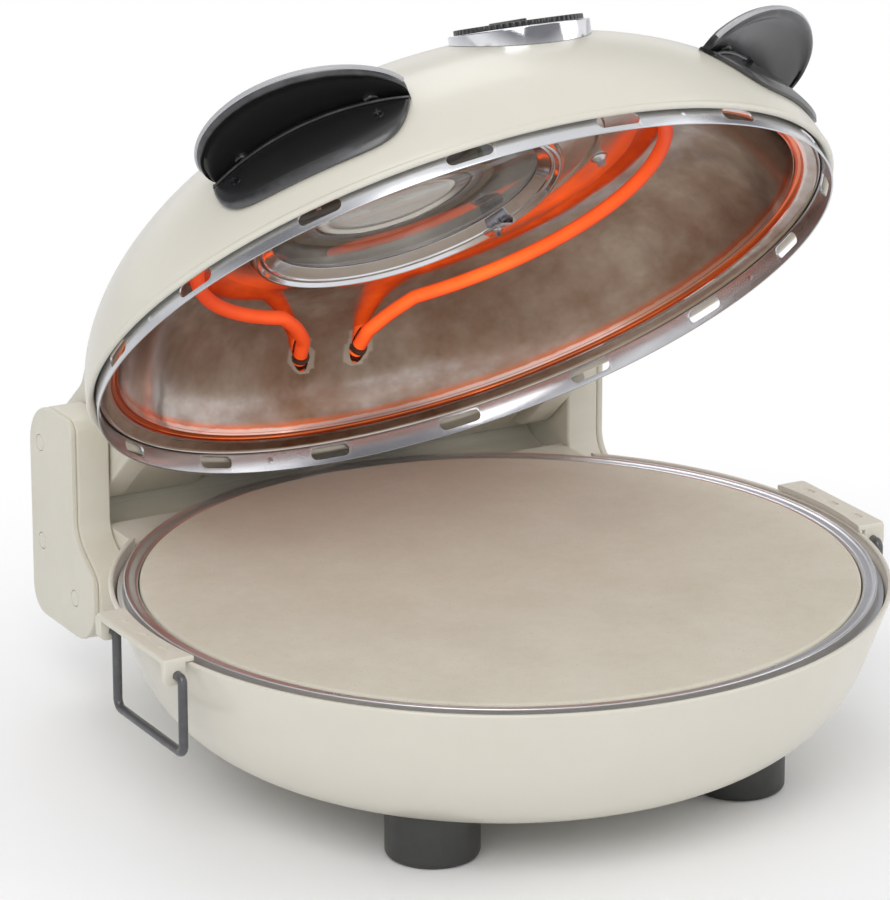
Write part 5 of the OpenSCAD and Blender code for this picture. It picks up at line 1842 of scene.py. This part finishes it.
@dataclass
class LidHinge:
    """The arms that carry the lid back to the hinge line, and the apron between them."""

    inner_x: float = 103.0
    width: float = 13.0
    height: float = 17.0
    barrel: float = 26.0
    start: float = -14.0
    end: float = 52.0
    low: Point = (13.0, 9.2)
    wall: float = 2.0
    apron_h: float = 42.0
    relief: float = 166.9
    relief_from: float = 16.0
    pin: float = 4.06
    hem: float = 169.0

    def space(self, dome: Dome) -> Shape:
        """What the lid's shell and hem take up."""
        hem = disc(self.hem, -1, dome.low + dome.bead + 0.2, 0, 240)
        return dome.solid(0.2).carved(joins=[hem])

    def build(self, dome: Dome) -> None:
        """Builds the arms and the apron.

        Args:
            dome: The shell that they meet.
        """
        y, h = HINGE_Y, self.height
        space = self.space(dome)
        inner, outer = self.inner_x, self.inner_x + self.width
        outline = rounded([
            (72, 5, 2), (y + 15, h - 14, 13.5), (y + 15, h + 34, 10), (y - 17, h + 34, 14),
            (118, 64, 14), (72, 56, 2),
        ])
        arm = Shape().slab(outline, inner, outer, Way.X, 1.0, 3)
        curve = arc((y, h), self.barrel, self.start, self.end, 24)
        sector = [(y, h), (y - self.low[0], h - self.low[1]), *curve]
        drum = Shape().slab(sector, inner, outer, Way.X, 0.6, 2)
        bore = disc(self.pin, inner - 2, outer + 2, 0, 48).place(move(0, y, h) @ turn("Y", 90))
        arm = arm.carved(bore, space, joins=[drum])
        for side, flip in SIDES:
            place = AT_LID @ flip
            Fit("lid_arm_" + side, Body.LID, "cream_part", SATIN, ("hinge_arm_" + side,), place).settle(arm)
        relief = disc(self.relief, y + self.relief_from, y + 60, 0, 240)
        relief.place(move(0, 0, h - y) @ turn("X", -90))
        apron = self.block(0, 0).carved(self.block(self.wall, -1), space, relief)
        Fit("hinge_cover", Body.LID, "cream_part", SATIN, ("hinge_apron",), AT_LID, bevel=0.4).settle(apron)

    def block(self, inset: float, ends: float) -> Shape:
        """The apron's block, or what is hollow in it.

        Args:
            inset: How far its lower side, its back and its top are drawn in.
            ends: How far its two ends are drawn in.

        Returns:
            The block.
        """
        y, h = HINGE_Y, self.height
        x = self.inner_x - 0.2 - ends
        front, low = y - self.low[0] - 40, h - self.low[1] + inset
        outline = [
            (front, low), (y - self.low[0], low), *arc((y, h), self.barrel - inset, self.start, self.end, 28),
            (y + 6, self.apron_h - inset), (front, self.apron_h - inset),
        ]
        return Shape().slab(outline, -x, x, Way.X)


@dataclass(frozen=True)
class Studio:
    """The floor, the lamps and the camera of the photograph."""

    distance: float = 2.1148
    azimuth: float = -29.2
    elevation: float = 18.5
    focal: float = 5000.0
    width: float = 890.0
    sensor: float = 36.0
    aim: tuple[float, float, float] = (-0.0271, -0.01224, 0.1464)
    floor: float = 6.0
    floor_paint: Colour = (252, 252, 253)
    floor_rough: float = 0.6
    floor_specular: float = 0.2
    floor_fade: tuple[float, float] = (0.17, 0.42)
    world: float = 0.62
    sky: Light = (0.97, 0.985, 1.0, 1)
    band: Light = (0.22, 0.22, 0.235, 1)
    band_low: tuple[float, float] = (0.12, 0.34)
    band_high: tuple[float, float] = (0.8, 0.55)

    def build(self) -> None:
        """Places floor, lamps, world and camera."""
        scene = bpy.context.scene
        scene.view_settings.view_transform = "Standard"
        self.build_floor()
        self.build_world()
        self.lamp("key", (-1.3, -1.5, 1.9), 1.5, 24)
        self.lamp("fill", (1.7, -0.9, 1.2), 1.4, 8)
        self.lamp("back", (0.3, 1.7, 1.7), 1.2, 8)
        self.build_camera()

    def build_floor(self) -> None:
        """A white floor that keeps the object's shadow and fades to plain white away from it."""
        mesh = bpy.data.meshes.new("floor")
        shape = bmesh.new()
        bmesh.ops.create_grid(shape, x_segments=1, y_segments=1, size=self.floor)
        shape.to_mesh(mesh)
        floor = bpy.data.objects.new("floor", mesh)
        bpy.context.scene.collection.objects.link(floor)
        paint = bpy.data.materials.new("floor_paint")
        paint.use_nodes = True
        bench = Bench(paint.node_tree)
        shader = paint.node_tree.nodes["Principled BSDF"]
        bench.feed(shader, "Base Color", linear(self.floor_paint))
        bench.feed(shader, "Roughness", self.floor_rough)
        bench.feed(shader, "Specular IOR Level", self.floor_specular)
        white = bench.add("ShaderNodeEmission")
        bench.feed(white, "Color", (1, 1, 1, 1))
        spot = bench.add("ShaderNodeTexCoord").outputs["Object"]
        length = bench.add("ShaderNodeVectorMath", operation="LENGTH")
        bench.feed(length, 0, spot)
        seen = bench.add("ShaderNodeLightPath").outputs["Is Camera Ray"]
        far = bench.times(bench.span(length.outputs["Value"], *self.floor_fade), seen)
        mixed = bench.add("ShaderNodeMixShader")
        bench.feed(mixed, 0, far)
        bench.feed(mixed, 1, shader.outputs[0])
        bench.feed(mixed, 2, white.outputs[0])
        bench.feed(paint.node_tree.nodes["Material Output"], "Surface", mixed.outputs[0])
        mesh.materials.append(paint)

    def build_world(self) -> None:
        """Soft light from all round, and what camera, metal and glass see: white, with a grey band."""
        world = bpy.data.worlds.new("studio")
        bpy.context.scene.world = world
        world.use_nodes = True
        bench = Bench(world.node_tree)
        light = world.node_tree.nodes["Background"]
        bench.feed(light, "Color", self.sky)
        bench.feed(light, "Strength", self.world)
        seen = bench.add("ShaderNodeBackground")
        way = bench.add("ShaderNodeSeparateXYZ")
        bench.feed(way, 0, bench.add("ShaderNodeTexCoord").outputs["Generated"])
        height = way.outputs[2]
        band = bench.times(bench.span(height, *self.band_low), bench.span(height, *self.band_high))
        bench.feed(seen, "Color", bench.mix(band, (1, 1, 1, 1), self.band))
        bench.feed(seen, "Strength", 1.0)
        path = bench.add("ShaderNodeLightPath")
        rays = bench.work("MAXIMUM", path.outputs["Is Camera Ray"], path.outputs["Is Glossy Ray"])
        rays = bench.work("MAXIMUM", rays, path.outputs["Is Transmission Ray"])
        mixed = bench.add("ShaderNodeMixShader")
        bench.feed(mixed, 0, rays)
        bench.feed(mixed, 1, light.outputs[0])
        bench.feed(mixed, 2, seen.outputs[0])
        bench.feed(world.node_tree.nodes["World Output"], "Surface", mixed.outputs[0])

    def lamp(self, name: str, spot: tuple[float, float, float], size: float, watts: float) -> None:
        """Adds a soft square lamp that faces the object.

        Args:
            name: The lamp's name.
            spot: Where it stands, in metres.
            size: Length of its side.
            watts: Its power.
        """
        data = bpy.data.lights.new(name, "AREA")
        data.energy = watts
        data.size = size
        lamp = bpy.data.objects.new(name, data)
        lamp.location = spot
        lamp.rotation_euler = (Vector((0, 0, 0.1)) - lamp.location).to_track_quat("-Z", "Y").to_euler()
        bpy.context.scene.collection.objects.link(lamp)

    def build_camera(self) -> None:
        """Places the camera at the photograph's viewing angle."""
        lens = bpy.data.cameras.new("photo_camera")
        lens.sensor_fit = "HORIZONTAL"
        lens.sensor_width = self.sensor
        lens.lens = self.focal / self.width * self.sensor
        lens.clip_end = 20
        camera = bpy.data.objects.new("photo_camera", lens)
        azimuth, elevation = math.radians(self.azimuth), math.radians(self.elevation)
        level = math.cos(elevation)
        away = Vector((math.sin(azimuth) * level, -math.cos(azimuth) * level, math.sin(elevation)))
        camera.location = Vector(self.aim) + away * self.distance
        camera.rotation_euler = (-away).to_track_quat("-Z", "Y").to_euler()
        bpy.context.scene.collection.objects.link(camera)
        bpy.context.scene.camera = camera


def dress_carried() -> None:
    """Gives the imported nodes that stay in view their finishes."""
    for name, finish in CARRIED.items():
        for holder in frame["nodes"][name].material_slots:
            holder.material = finish.material()
        log.info("%s dressed", name)


def main() -> None:
    """Builds the studio and the object."""
    logging.basicConfig(level=logging.INFO)
    Studio().build()
    Effects().build()
    bowl, dome = Bowl(), Dome()
    bowl.build()
    Seat().build()
    Rear().build(bowl)
    Bails().build()
    dome.build()
    Underside().build()
    Window().build(dome)
    Knob().build(dome)
    Handles().build(dome)
    LidHinge().build(dome)
    dress_carried()


if __name__ == "__main__":
    main()
